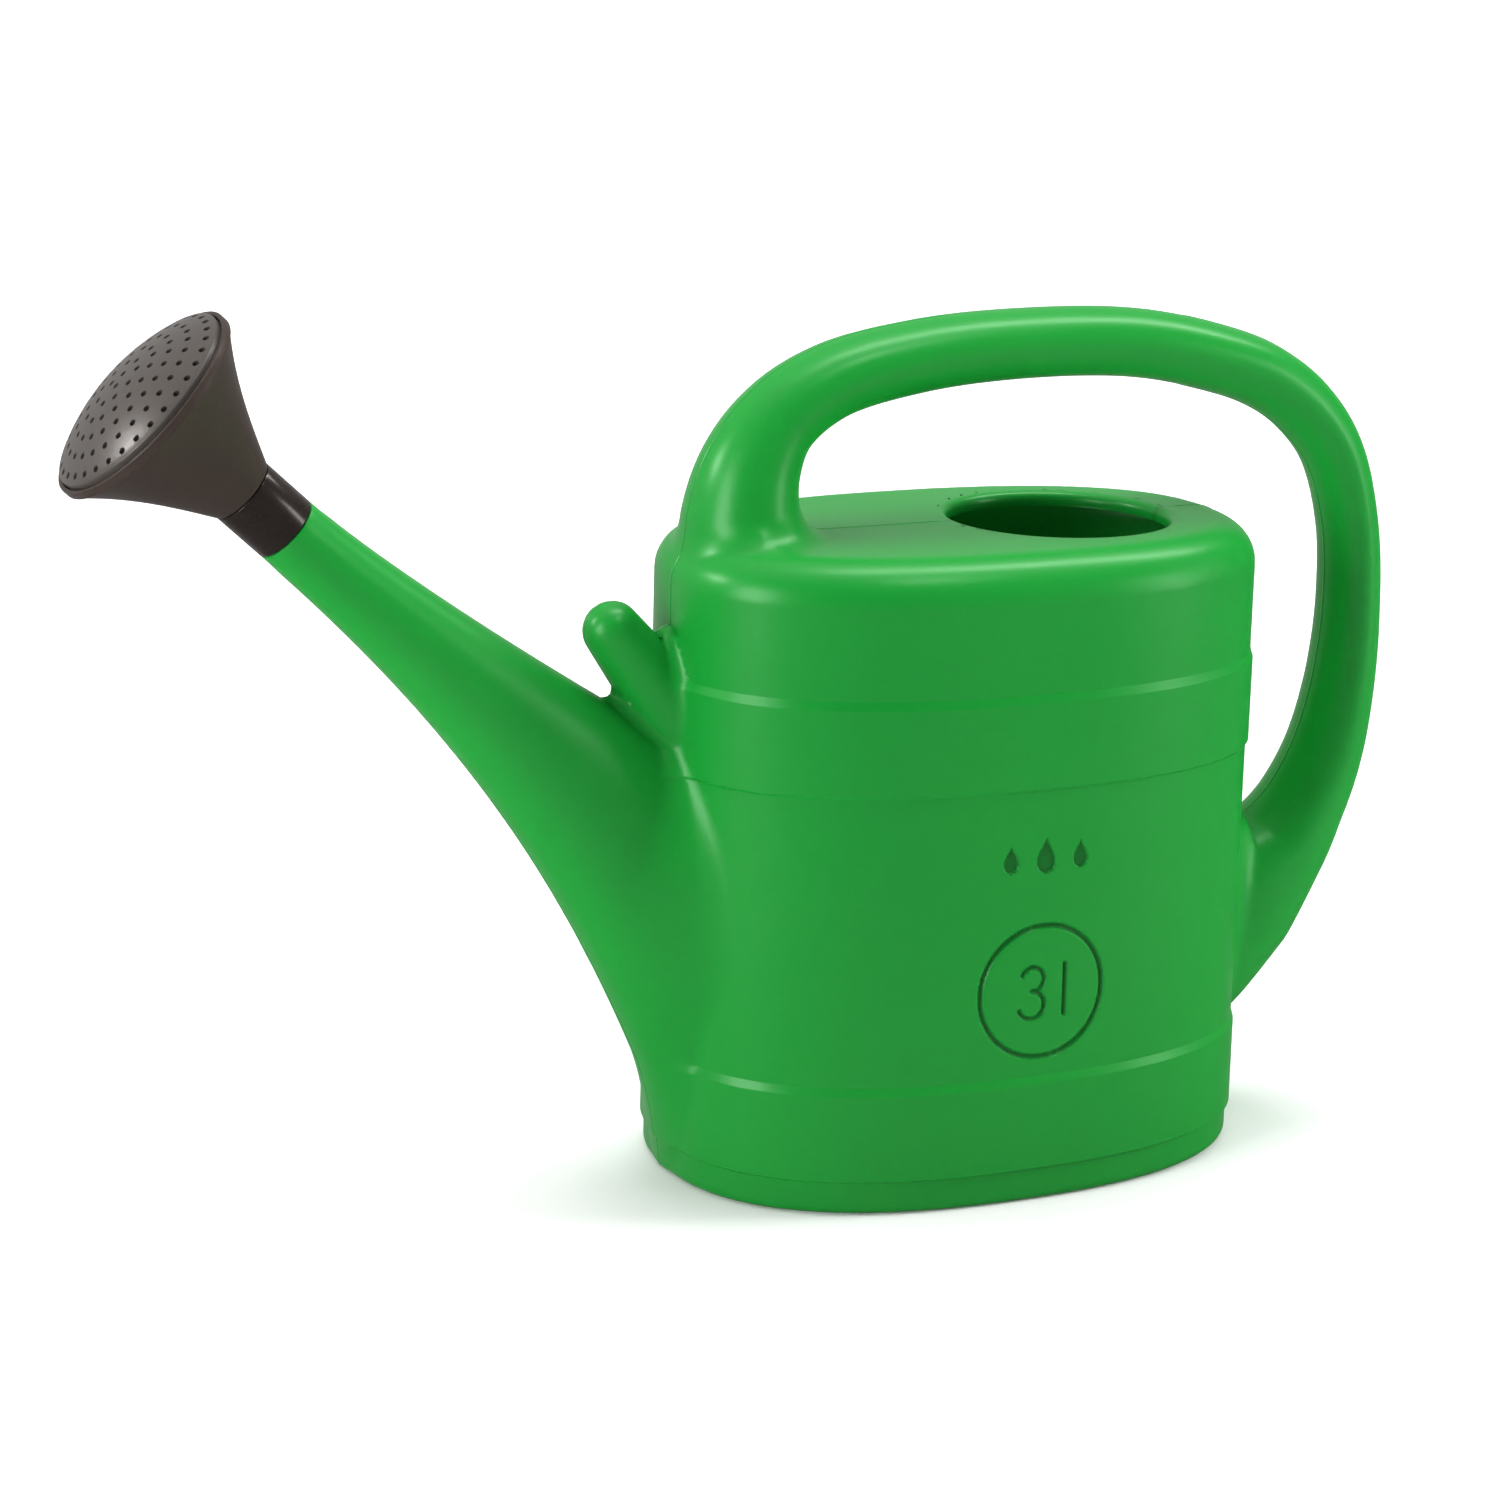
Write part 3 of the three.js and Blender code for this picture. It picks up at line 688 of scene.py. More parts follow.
def unit(vectors):
    return vectors / (np.linalg.norm(vectors, axis=1)[:, None] + TINY)


def trace(distance, lines):
    """Skin of a distance function over grid lines, as points and quads."""
    x, y, z = lines
    field = distance(x[:, None, None], y[None, :, None], z[None, None, :])
    return net_over(field, lines)


def split_points(distance):
    return lambda points: distance(points[:, 0], points[:, 1], points[:, 2])


def to_bmesh(points, faces):
    mesh = bpy.data.meshes.new("working")
    mesh.from_pydata(points.tolist(), [], faces.tolist())
    work = bmesh.new()
    work.from_mesh(mesh)
    bpy.data.meshes.remove(mesh)
    return work


def harvest(work, loops):
    """Points, faces and vertex loops of a working mesh as plain numbers; frees the mesh."""
    for index, vert in enumerate(work.verts):
        vert.index = index
    points = np.array([vert.co for vert in work.verts])
    faces = [[vert.index for vert in face.verts] for face in work.faces]
    loops = [[vert.index for vert in loop] for loop in loops]
    work.free()
    return points, faces, loops


class Shell:
    """Points, faces and shading directions that grow part by part into one mesh."""

    def __init__(self):
        self.points = []
        self.faces = []
        self.ways = []

    def add(self, points, faces, ways=None):
        """Take in a part and return the number of its first point."""
        start = len(self.points)
        self.points.extend(Vector(point) for point in points)
        self.faces.extend([index + start for index in face] for face in faces)
        blank = (0.0, 0.0, 0.0)
        self.ways.extend([blank] * len(points) if ways is None else ways)
        return start

    def add_rings(self, rings):
        """Take in rows of points joined by quads; returns the rows as numbers."""
        count = len(rings[0])
        faces = []
        for row in range(len(rings) - 1):
            low = row * count
            for k in range(count):
                after = (k + 1) % count
                faces.append([low + k, low + after, low + count + after, low + count + k])
        start = self.add([point for ring in rings for point in ring], faces)
        return [list(range(start + row * count, start + (row + 1) * count))
                for row in range(len(rings))]

    def zip(self, outer, inner, centre, side, up):
        """Fill between two loops round the same centre, walking both by angle."""
        def by_angle(loop):
            turns = []
            for index in loop:
                offset = self.points[index] - centre
                turns.append((math.atan2(offset.dot(up), offset.dot(side)), index))
            return sorted(turns)

        first = by_angle(outer)
        second = by_angle(inner)
        i = 0
        j = 0
        while i < len(first) or j < len(second):
            turn_i = first[i % len(first)][0] + (2 * math.pi if i >= len(first) else 0)
            turn_j = second[j % len(second)][0] + (2 * math.pi if j >= len(second) else 0)
            here = first[i % len(first)][1]
            there = second[j % len(second)][1]
            if i < len(first) and (j >= len(second) or turn_i <= turn_j):
                i += 1
                self.faces.append([here, first[i % len(first)][1], there])
            else:
                j += 1
                self.faces.append([here, second[j % len(second)][1], there])

    def to_mesh(self, name, shift):
        """Mesh of the whole shell, moved by a shift, with its shading directions set."""
        mesh = bpy.data.meshes.new(name)
        mesh.from_pydata([point + shift for point in self.points], [], self.faces)
        mesh.shade_smooth()
        mesh.normals_split_custom_set_from_vertices(self.ways)
        return mesh


def refine(work, wanted, cuts):
    """Cut each wanted face into a grid of small ones."""
    edges = set()
    for face in work.faces:
        if wanted(face):
            edges.update(face.edges)
    bmesh.ops.subdivide_edges(work, edges=list(edges), cuts=cuts, use_grid_fill=True)


def open_loop(work, near):
    """Vertices of the boundary loop whose first vertex passes a test, in order."""
    border = [edge for edge in work.edges if edge.is_boundary and near(edge.verts[0].co)]
    links = {}
    for edge in border:
        for vert in edge.verts:
            links.setdefault(vert, []).append(edge.other_vert(vert))
    start = border[0].verts[0]
    loop = [start]
    previous = None
    current = start
    while True:
        following = [vert for vert in links[current] if vert is not previous]
        previous, current = current, following[0]
        if current is start:
            return loop
        loop.append(current)


def circle(centre, side, up, radius, count):
    turns = [2 * math.pi * k / count for k in range(count)]
    return [centre + side * (radius * math.cos(t)) + up * (radius * math.sin(t)) for t in turns]


def arc_profile(centre, radius, start, end, steps):
    """Points of a profile arc, in degrees, round a centre of (radius, height)."""
    points = []
    for k in range(steps + 1):
        turn = math.radians(start + (end - start) * k / steps)
        points.append((centre[0] + radius * math.cos(turn), centre[1] + radius * math.sin(turn)))
    return points


def filler_rings(sizes, count):
    """Rings of the filler's turned-in lip, from the deck's top round to its underside."""
    radius = sizes.filler_radius
    bend = sizes.filler_round
    wall = sizes.wall
    end = 0.45 * wall
    profile = [(radius + bend + 0.6 * MM, 0.0)]
    profile += arc_profile((radius + bend, -bend), bend, 90, 180, 6)
    profile += [(radius, -sizes.filler_lip + end)]
    profile += arc_profile((radius + end, -sizes.filler_lip + end), end, 210, 270, 2)
    profile += arc_profile((radius + wall - end, -sizes.filler_lip + end), end, 270, 360, 3)
    profile += [(radius + wall, -bend - 0.3 * MM)]
    profile += arc_profile((radius + wall + 2 * MM, -wall - 2 * MM), 2 * MM, 180, 90, 4)
    centre = Vector((sizes.filler_x, 0, DECK_HEIGHT))
    side = Vector((1, 0, 0))
    up = Vector((0, 1, 0))
    return [circle(centre + Vector((0, 0, h)), side, up, r, count) for r, h in profile]


def spigot_rings(sizes, count):
    """Rings from the spout's shoulder over the spigot and back down its bore."""
    tip = sizes.tip_radius
    spigot = sizes.spigot_radius
    bore = spigot - sizes.wall
    top = sizes.spigot_length
    profile = [(tip, -1.5 * MM)]
    profile += arc_profile((tip - 0.3 * MM, -0.3 * MM), 0.3 * MM, 0, 90, 3)
    profile += arc_profile((spigot + 0.3 * MM, 0.3 * MM), 0.3 * MM, 270, 180, 2)
    profile += [(spigot, top / 2)]
    profile += arc_profile((spigot - 0.5 * MM, top - 0.5 * MM), 0.5 * MM, 0, 90, 3)
    profile += arc_profile((bore + 0.5 * MM, top - 0.5 * MM), 0.5 * MM, 90, 180, 3)
    profile += [(bore, top / 2), (bore, -1.6 * MM), (tip - sizes.wall, -4 * MM)]
    side = Vector((0, 1, 0))
    up = SPOUT_AXIS.cross(side)
    rings = [circle(SHOULDER + SPOUT_AXIS * h, side, up, r, count) for r, h in profile]
    return rings, side, up


def open_skin(work, sizes, hole_radius, deck_top, tip_cut):
    """Open a skin at the filler and at the spout's tip; returns the two boundary loops."""
    doomed = []
    for face in work.faces:
        middle = face.calc_center_median()
        near = math.hypot(middle.x - sizes.filler_x, middle.y) < hole_radius
        if near and middle.z > deck_top - 3 * MM and middle.z < deck_top + 3 * MM:
            doomed.append(face)
    bmesh.ops.delete(work, geom=doomed, context="FACES")
    near_tip = []
    for face in work.faces:
        offset = face.calc_center_median() - SHOULDER
        if offset.dot(SPOUT_AXIS) > -0.02 and offset.length < 0.05:
            near_tip.append(face)
    edges = {edge for face in near_tip for edge in face.edges}
    verts = {vert for face in near_tip for vert in face.verts}
    bmesh.ops.bisect_plane(
        work, geom=near_tip + list(edges) + list(verts), plane_co=SHOULDER + SPOUT_AXIS * tip_cut,
        plane_no=SPOUT_AXIS, clear_outer=True)
    loose = [vert for vert in work.verts if not vert.link_faces]
    bmesh.ops.delete(work, geom=loose, context="VERTS")
    filler = open_loop(work, lambda co: co.x > -0.05 and co.z > 0.15)
    tip = open_loop(work, lambda co: co.x < -0.12)
    return filler, tip


def marked_face(sizes):
    """Test for faces of the front wall that carry the capacity mark or the drops."""
    def wanted(face):
        middle = face.calc_center_median()
        if middle.y > -0.04:
            return False
        u = middle.x - sizes.mark_x
        v = middle.z - sizes.mark_z
        in_ring = math.hypot(u, v) < sizes.mark_radius + 2 * MM
        in_drops = abs(u) < 15 * MM and -4 * MM < v - DROPS_ABOVE_RING < 9 * MM
        return in_ring or in_drops
    return wanted


def traced_lines(step, fine_y, fine_z):
    """Grid positions along x, y and z that hold the whole can."""
    return (
        grid_line(SHOULDER_X - TRACED_BEFORE_TIP, TRACED_REAR, step, []),
        grid_line(-TRACED_SIDE, TRACED_SIDE, step, fine_y),
        grid_line(TRACED_BELOW, TRACED_TOP, step, fine_z),
    )


def can_mesh(sizes):
    """The whole can as one closed mesh with smooth normals."""
    step = SKIN_STEP
    tubes = (spout_tube(sizes), handle_tube(sizes))
    upper_top = DECK_HEIGHT - sizes.upper_band_drop
    upper_bottom = upper_top - sizes.upper_band_height
    fine_z = [
        (-0.8 * MM, 4.0 * MM, 0.8 * MM),
        (sizes.foot_height - 1.2 * MM, sizes.foot_height + 1.2 * MM, 0.3 * MM),
        (sizes.lower_band_top - 3.2 * MM, sizes.lower_band_top + 0.8 * MM, 0.4 * MM),
        (upper_bottom - 1.6 * MM, upper_bottom + 0.8 * MM, 0.3 * MM),
        (upper_top - 3.2 * MM, upper_top + 0.8 * MM, 0.4 * MM),
    ]
    fine_y = [(-3 * SEAM_STEP, 3 * SEAM_STEP, SEAM_STEP)]

    def outside(x, y, z):
        return can_distance(sizes, tubes, x, y, z, 0.0)

    def detailed(x, y, z):
        return outside(x, y, z) - relief(sizes, x, y, z)

    def hollow(x, y, z):
        return can_distance(sizes, tubes, x, y, z, sizes.wall)

    points, faces = trace(outside, traced_lines(step, fine_y, fine_z))
    points = settle(split_points(outside), points, 1)
    skin = to_bmesh(points, faces)
    refine(skin, marked_face(sizes), 3)
    loops = open_skin(skin, sizes, sizes.filler_radius + 4 * MM, DECK_HEIGHT, -3 * MM)
    points, faces, outer_loops = harvest(skin, loops)
    points = settle(split_points(detailed), points, 2)
    ways = unit(slopes(split_points(detailed), points, 0.08 * MM))
    shell = Shell()
    shell.add(points, faces, ways.tolist())

    points, faces = trace(hollow, traced_lines(LINING_STEP, [], []))
    points = settle(split_points(hollow), points, 2)
    lining = to_bmesh(points, faces)
    loops = open_skin(
        lining, sizes, sizes.filler_radius + 8 * MM, DECK_HEIGHT - sizes.wall, -6 * MM)
    bmesh.ops.reverse_faces(lining, faces=lining.faces)
    points, faces, inner_loops = harvest(lining, loops)
    ways = -unit(slopes(split_points(hollow), points, 0.08 * MM))
    start = shell.add(points, faces, ways.tolist())
    inner_loops = [[index + start for index in loop] for loop in inner_loops]

    rows = shell.add_rings(filler_rings(sizes, 96))
    centre = Vector((sizes.filler_x, 0, DECK_HEIGHT))
    side = Vector((1, 0, 0))
    up = Vector((0, 1, 0))
    shell.zip(outer_loops[0], rows[0], centre, side, up)
    shell.zip(rows[-1], inner_loops[0], centre, side, up)
    rings, side, up = spigot_rings(sizes, 64)
    rows = shell.add_rings(rings)
    shell.zip(outer_loops[1], rows[0], SHOULDER, side, up)
    shell.zip(rows[-1], inner_loops[1], SHOULDER, side, up)
    return shell.to_mesh("can_body", Vector((TANK_CENTRE_X, 0, 0)))


# ---- Turned pieces of the rose ----

def turned_mesh(name, profile, count):
    """Closed solid of revolution about +Z from a closed profile, anticlockwise."""
    work = bmesh.new()
    rows = []
    for radius, height in profile:
        if radius < ON_AXIS:
            rows.append([work.verts.new((0, 0, height))])
            continue
        ring = circle(Vector((0, 0, height)), Vector((1, 0, 0)), Vector((0, 1, 0)), radius, count)
        rows.append([work.verts.new(point) for point in ring])
    for low, high in zip(rows, rows[1:] + rows[:1]):
        if len(low) == 1 and len(high) == 1:
            continue
        for k in range(count):
            after = (k + 1) % count
            if len(low) == 1:
                work.faces.new((low[0], high[after], high[k]))
            elif len(high) == 1:
                work.faces.new((low[k], low[after], high[0]))
            else:
                work.faces.new((low[k], low[after], high[after], high[k]))
    mesh = bpy.data.meshes.new(name)
    work.to_mesh(mesh)
    work.free()
    return mesh


def softened(profile, radius, steps=3):
    """Closed profile with every corner cut by a small arc, no longer than its edges allow."""
    result = []
    total = len(profile)
    for index, point in enumerate(profile):
        here = Vector(point)
        before = Vector(profile[index - 1]) - here
        after = Vector(profile[(index + 1) % total]) - here
        if here.x < ON_AXIS or before.length < 1e-7 or after.length < 1e-7:
            result.append(tuple(here))
            continue
        bend = before.angle(after)
        if bend > math.radians(165):
            result.append(tuple(here))
            continue
        reach = min(radius / math.tan(bend / 2), 0.4 * before.length, 0.4 * after.length)
        start = here + before.normalized() * reach
        end = here + after.normalized() * reach
        for k in range(steps + 1):
            t = k / steps
            curve = start * (1 - t) ** 2 + here * (2 * t * (1 - t)) + end * t ** 2
            result.append(tuple(curve))
    return result


def rose_heights(rose):
    collar_bottom = rose.clearance
    collar_top = collar_bottom + rose.collar_length
    funnel_bottom = collar_top + rose.clearance
    funnel_top = funnel_bottom + rose.funnel_length
    return collar_bottom, collar_top, funnel_bottom, funnel_top


def collar_profile(can, rose):
    bottom, top, _, _ = rose_heights(rose)
    bore = can.spigot_radius + rose.clearance
    outside = bore + rose.collar_wall
    neck_top = top + rose.neck_length
    neck_bore = rose.neck_radius - rose.collar_wall
    bead = rose.neck_radius + rose.neck_bead
    return [
        (bore, bottom),
        (outside, bottom),
        (outside, top),
        (rose.neck_radius, top),
        (rose.neck_radius, neck_top - 2 * rose.neck_bead),
        (bead, neck_top - rose.neck_bead),
        (rose.neck_radius, neck_top),
        (neck_bore, neck_top),
        (neck_bore, top - rose.collar_wall + rose.clearance),
        (bore, top - rose.collar_wall + rose.clearance),
    ]


def funnel_profile(can, rose):
    _, _, bottom, top = rose_heights(rose)
    start = can.spigot_radius + rose.clearance + rose.collar_wall
    rim_bottom = top - rose.rim_depth
    bore = rose.neck_radius + rose.clearance
    bead_room = bore + rose.neck_bead
    collar_top = bottom - rose.clearance
    bore_top = collar_top + rose.neck_length - 2 * rose.neck_bead - rose.clearance
    lip = 0.5 * MM

    def flare(height):
        u = (height - bottom) / (rim_bottom - bottom)
        growth = 0.8 * u + 0.2 * u ** 3
        return start + (rose.rim_radius - lip - start) * growth

    heights = np.linspace(bottom, rim_bottom, 30)
    outside = [(flare(height), height) for height in heights]
    inside = []
    for height in heights[::-1]:
        radius = flare(height) - rose.wall
        if height > bore_top and radius > bead_room:
            inside.append((radius, height))
    inside[0] = (inside[0][0] - rose.wall + lip, inside[0][1])
    seat = rose.rim_radius - rose.wall
    return [
        (bore, bottom),
        *outside,
        (rose.rim_radius, rim_bottom + 0.2 * MM),
        (rose.rim_radius, top),
        (seat, top),
        (seat, rim_bottom),
        *inside,
        (bead_room, bore_top + rose.neck_bead),
        (bore, bore_top),
    ]


def face_sizes(rose):
    """Edge radius, edge height and sphere radius of the face's dome."""
    _, _, _, top = rose_heights(rose)
    radius = rose.rim_radius - rose.wall - rose.clearance
    sphere = (radius ** 2 + rose.face_dome ** 2) / (2 * rose.face_dome)
    return radius, top + rose.face_proud, sphere


def face_profile(rose):
    _, _, _, top = rose_heights(rose)
    radius, edge, sphere = face_sizes(rose)
    bottom = top - rose.rim_depth + rose.clearance
    span = radius - rose.wall
    centre = edge + rose.face_dome - sphere

    def dome(r, inset):
        return centre + math.sqrt((sphere - inset) ** 2 - r * r)

    steps = 20
    outer = [(radius * (steps - i) / steps, dome(radius * (steps - i) / steps, 0))
             for i in range(steps + 1)]
    inner = [(span * i / 8, dome(span * i / 8, rose.wall)) for i in range(9)]
    edge_round = arc_profile((radius - 0.5 * MM, edge - 0.45 * MM), 0.5 * MM, 0, 60, 3)
    return [(span, bottom), (radius, bottom), *edge_round, *outer[1:], *inner]


# ---- Geometry nodes that pierce the face ----

class Graph:
    """Short way to add nodes and wire them into one tree."""

    def __init__(self, tree):
        self.tree = tree

    def add(self, kind, values=(), output=0, **settings):
        node = self.tree.nodes.new(kind)
        for name, value in settings.items():
            setattr(node, name, value)
        for key, value in dict(values).items():
            socket = node.inputs[key]
            if isinstance(value, bpy.types.NodeSocket):
                self.tree.links.new(value, socket)
            else:
                socket.default_value = value
        return node.outputs[output]

    def math(self, operation, *values):
        return self.add("ShaderNodeMath", enumerate(values), operation=operation)


HOLE_INPUTS = (
    ("Hole rings", "NodeSocketInt"),
    ("First ring", "NodeSocketInt"),
    ("Added holes", "NodeSocketInt"),
    ("Hole pitch", "NodeSocketFloat"),
    ("Hole radius", "NodeSocketFloat"),
    ("Sphere radius", "NodeSocketFloat"),
    ("Sphere centre", "NodeSocketFloat"),
    ("Cut depth", "NodeSocketFloat"),
    ("Material", "NodeSocketMaterial"),
)


def hole_tree():
    """Node tree that pierces a domed plate with rings of slightly tapered holes."""
    tree = bpy.data.node_groups.new("rose_holes", "GeometryNodeTree")
    face = tree.interface
    face.new_socket("Geometry", in_out="INPUT", socket_type="NodeSocketGeometry")
    face.new_socket("Geometry", in_out="OUTPUT", socket_type="NodeSocketGeometry")
    for name, kind in HOLE_INPUTS:
        face.new_socket(name, in_out="INPUT", socket_type=kind)
    entry = tree.nodes.new("NodeGroupInput").outputs
    graph = Graph(tree)
    math_node = graph.math
    rings = entry["Hole rings"]
    first = entry["First ring"]
    added = entry["Added holes"]
    half = math_node("MULTIPLY", added, 0.5)
    lead = math_node("SUBTRACT", first, half)

    def holes_before(ring):
        square = math_node("MULTIPLY", half, math_node("MULTIPLY", ring, ring))
        return math_node("MULTIPLY_ADD", lead, ring, square)

    index = graph.add("GeometryNodeInputIndex")
    root = math_node(
        "SQRT",
        math_node("MULTIPLY_ADD", lead, lead, math_node("MULTIPLY", added,
                                                        math_node("MULTIPLY", index, 2.0))))
    exact = math_node("DIVIDE", math_node("SUBTRACT", root, lead), added)
    ring = math_node("FLOOR", math_node("ADD", exact, 0.0001))
    in_ring = math_node("MULTIPLY_ADD", ring, added, first)
    place = math_node("SUBTRACT", index, holes_before(ring))
    turn = math_node("DIVIDE", math_node("MULTIPLY", place, 2 * math.pi), in_ring)
    radius = math_node("MULTIPLY", math_node("ADD", ring, 0.5), entry["Hole pitch"])
    sphere = entry["Sphere radius"]
    rise = math_node(
        "SQRT",
        math_node("SUBTRACT", math_node("MULTIPLY", sphere, sphere),
                  math_node("MULTIPLY", radius, radius)))
    x = math_node("MULTIPLY", radius, math_node("COSINE", turn))
    y = math_node("MULTIPLY", radius, math_node("SINE", turn))
    outward = graph.add("ShaderNodeCombineXYZ", {"X": x, "Y": y, "Z": rise})
    height = math_node("ADD", rise, entry["Sphere centre"])
    where = graph.add("ShaderNodeCombineXYZ", {"X": x, "Y": y, "Z": height})
    points = graph.add(
        "GeometryNodePoints", {"Count": holes_before(rings), "Position": where})
    facing = graph.add("FunctionNodeAlignRotationToVector", {"Vector": outward}, axis="Z")
    wide = math_node("MULTIPLY", entry["Hole radius"], 1.35)
    narrow = math_node("MULTIPLY", entry["Hole radius"], 0.8)
    cutter = graph.add(
        "GeometryNodeMeshCone",
        {"Vertices": 14, "Radius Top": wide, "Radius Bottom": narrow,
         "Depth": entry["Cut depth"]})
    drop = math_node("MULTIPLY", entry["Cut depth"], -0.5)
    centred = graph.add(
        "GeometryNodeTransform",
        {"Geometry": cutter, "Translation": graph.add("ShaderNodeCombineXYZ", {"Z": drop})})
    cutters = graph.add(
        "GeometryNodeInstanceOnPoints",
        {"Points": points, "Instance": centred, "Rotation": facing})
    plain = graph.add("GeometryNodeRealizeInstances", {"Geometry": cutters})
    cut = graph.add(
        "GeometryNodeMeshBoolean", {"Mesh 1": entry["Geometry"], "Mesh 2": plain},
        operation="DIFFERENCE", solver="EXACT")
    whole = graph.add("GeometryNodeRealizeInstances", {"Geometry": cut})
    coated = graph.add(
        "GeometryNodeSetMaterial", {"Geometry": whole, "Material": entry["Material"]})
    leave = tree.nodes.new("NodeGroupOutput")
    tree.links.new(coated, leave.inputs[0])
    return tree


def pierced(plate, rose, material):
    """The plate's mesh with its holes, through a geometry-nodes modifier."""
    _, edge, sphere = face_sizes(rose)
    holder = bpy.data.objects.new("face_blank", plate)
    bpy.context.collection.objects.link(holder)
    modifier = holder.modifiers.new("Holes", "NODES")
    tree = hole_tree()
    modifier.node_group = tree
    values = {
        "Hole rings": rose.hole_rings,
        "First ring": rose.first_holes,
        "Added holes": rose.added_holes,
        "Hole pitch": rose.hole_pitch,
        "Hole radius": rose.hole_radius,
        "Sphere radius": sphere,
        "Sphere centre": edge + rose.face_dome - sphere,
        "Cut depth": 2.4 * rose.wall,
        "Material": material,
    }
    for item in tree.interface.items_tree:
        if item.in_out == "INPUT" and item.name in values:
            modifier[item.identifier] = values[item.name]
    depsgraph = bpy.context.evaluated_depsgraph_get()
    mesh = bpy.data.meshes.new_from_object(
        holder.evaluated_get(depsgraph), preserve_all_data_layers=True, depsgraph=depsgraph)
    bpy.data.objects.remove(holder)
    return mesh


# ---- Materials ----

def new_material(name):
    material = bpy.data.materials.new(name)
    material.use_nodes = True
    tree = material.node_tree
    tree.nodes.clear()
    surface = tree.nodes.new("ShaderNodeBsdfPrincipled")
    output = tree.nodes.new("ShaderNodeOutputMaterial")
    tree.links.new(surface.outputs[0], output.inputs["Surface"])
    return material, Graph(tree), surface


def noise(graph, place, scale, detail=4.0, roughness=0.55, stretch=None):
    if stretch:
        place = graph.add(
            "ShaderNodeVectorMath", {0: place, 1: stretch}, operation="MULTIPLY")
    return graph.add(
        "ShaderNodeTexNoise",
        {"Vector": place, "Scale": scale, "Detail": detail, "Roughness": roughness})


def remap(graph, value, low, high, to_low, to_high):
    return graph.add(
        "ShaderNodeMapRange",
        {"Value": value, "From Min": low, "From Max": high, "To Min": to_low, "To Max": to_high})


def mix_colour(graph, share, first, second):
    """Blend of two colours; the Mix node keeps its colour sockets at 6, 7 and output 2."""
    node = graph.tree.nodes.new("ShaderNodeMix")
    node.data_type = "RGBA"
    for key, value in ((0, share), (6, first), (7, second)):
        socket = node.inputs[key]
        if isinstance(value, bpy.types.NodeSocket):
            graph.tree.links.new(value, socket)
        else:
            socket.default_value = value if key == 0 else (*value, 1.0)
    return node.outputs[2]


def store_painted_shade_depth(mesh, sizes):
    """Keep on each point how deep it lies in a mark or a parting line, from 0 to 1, as the
    strength of the painted shade there.
    """
    points = np.array([vert.co for vert in mesh.vertices])
    x = points[:, 0] - TANK_CENTRE_X
    y = points[:, 1]
    front = (y < MARKS_FRONT) & (points[:, 2] < MARKS_HIGH)
    # Painted shade: full in the marks' grooves by their depth, 0.6 along the parting line's
    # ridge.
    mark = -mark_relief(sizes, x, points[:, 2]) / max(sizes.mark_depth, TINY)
    seam = 0.6 * np.exp(-(y / (0.5 * sizes.seam_width)) ** 2)
    depth = np.where(front, mark, seam)
    attribute = mesh.attributes.new(PAINTED_SHADE_ATTRIBUTE, "FLOAT", "POINT")
    attribute.data.foreach_set("value", depth.astype(np.float32))


def moulded(name, base, pale, finish):
    """Moulded plastic: blotches, speckle, fine grain, rubbed patches and hairline scratches, with
    painted shade in the marks' grooves and along the parting line.
    """
    material, graph, surface = new_material(name)
    place = graph.add("ShaderNodeTexCoord", output=3)
    blotch = noise(graph, place, 9.0, 1.5)
    speckle = noise(graph, place, 900.0, 2.0)
    rubbed = noise(graph, place, 24.0, 3.0, 0.5)
    tint = remap(graph, blotch, 0.25, 0.75, 0.0, finish["variation"])
    body = mix_colour(graph, tint, base, pale)
    fleck = remap(graph, speckle, 0.6, 0.75, 0.0, finish["speckle"])
    body = mix_colour(graph, fleck, body, pale)
    lines = noise(graph, place, 26.0, 1.0, 0.5, (1.0, 1.0, 9.0))
    ridge = graph.math("ABSOLUTE", graph.math("SUBTRACT", lines, 0.5))
    hairline = remap(graph, ridge, 0.0, 0.005, 1.0, 0.0)
    scratch = graph.math("MULTIPLY", hairline, remap(graph, rubbed, 0.45, 0.7, 0.0, 1.0))
    body = mix_colour(
        graph, graph.math("MULTIPLY", scratch, finish["scratch"]), body, pale)
    # Painted shade: the marks' grooves and the parting line are darkened towards a third of the
    # base colour.
    engraved = graph.add("ShaderNodeAttribute", output=2, attribute_name=PAINTED_SHADE_ATTRIBUTE)
    shade = graph.math("MULTIPLY", engraved, 0.75)
    body = mix_colour(graph, shade, body, lighter(base, 0.3))
    graph.tree.links.new(body, surface.inputs["Base Color"])
    rough = remap(graph, rubbed, 0.2, 0.8, finish["smooth"], finish["rough"])
    rough = graph.math("MULTIPLY_ADD", scratch, finish["scratch"] * 0.4, rough)
    graph.tree.links.new(rough, surface.inputs["Roughness"])
    grain = noise(graph, place, finish["grain_scale"], 3.0, 0.6)
    ripple = noise(graph, place, 55.0, 2.0)
    fine = graph.add(
        "ShaderNodeBump",
        {"Strength": finish["grain"], "Distance": 0.0001, "Height": grain})
    bumped = graph.add(
        "ShaderNodeBump",
        {"Strength": finish["ripple"], "Distance": 0.0012, "Height": ripple, "Normal": fine})
    graph.tree.links.new(bumped, surface.inputs["Normal"])
    surface.inputs["IOR"].default_value = 1.5
    surface.inputs["Specular IOR Level"].default_value = finish["specular"]
    surface.inputs["Specular Tint"].default_value = (*finish["gleam"], 1.0)
    return material


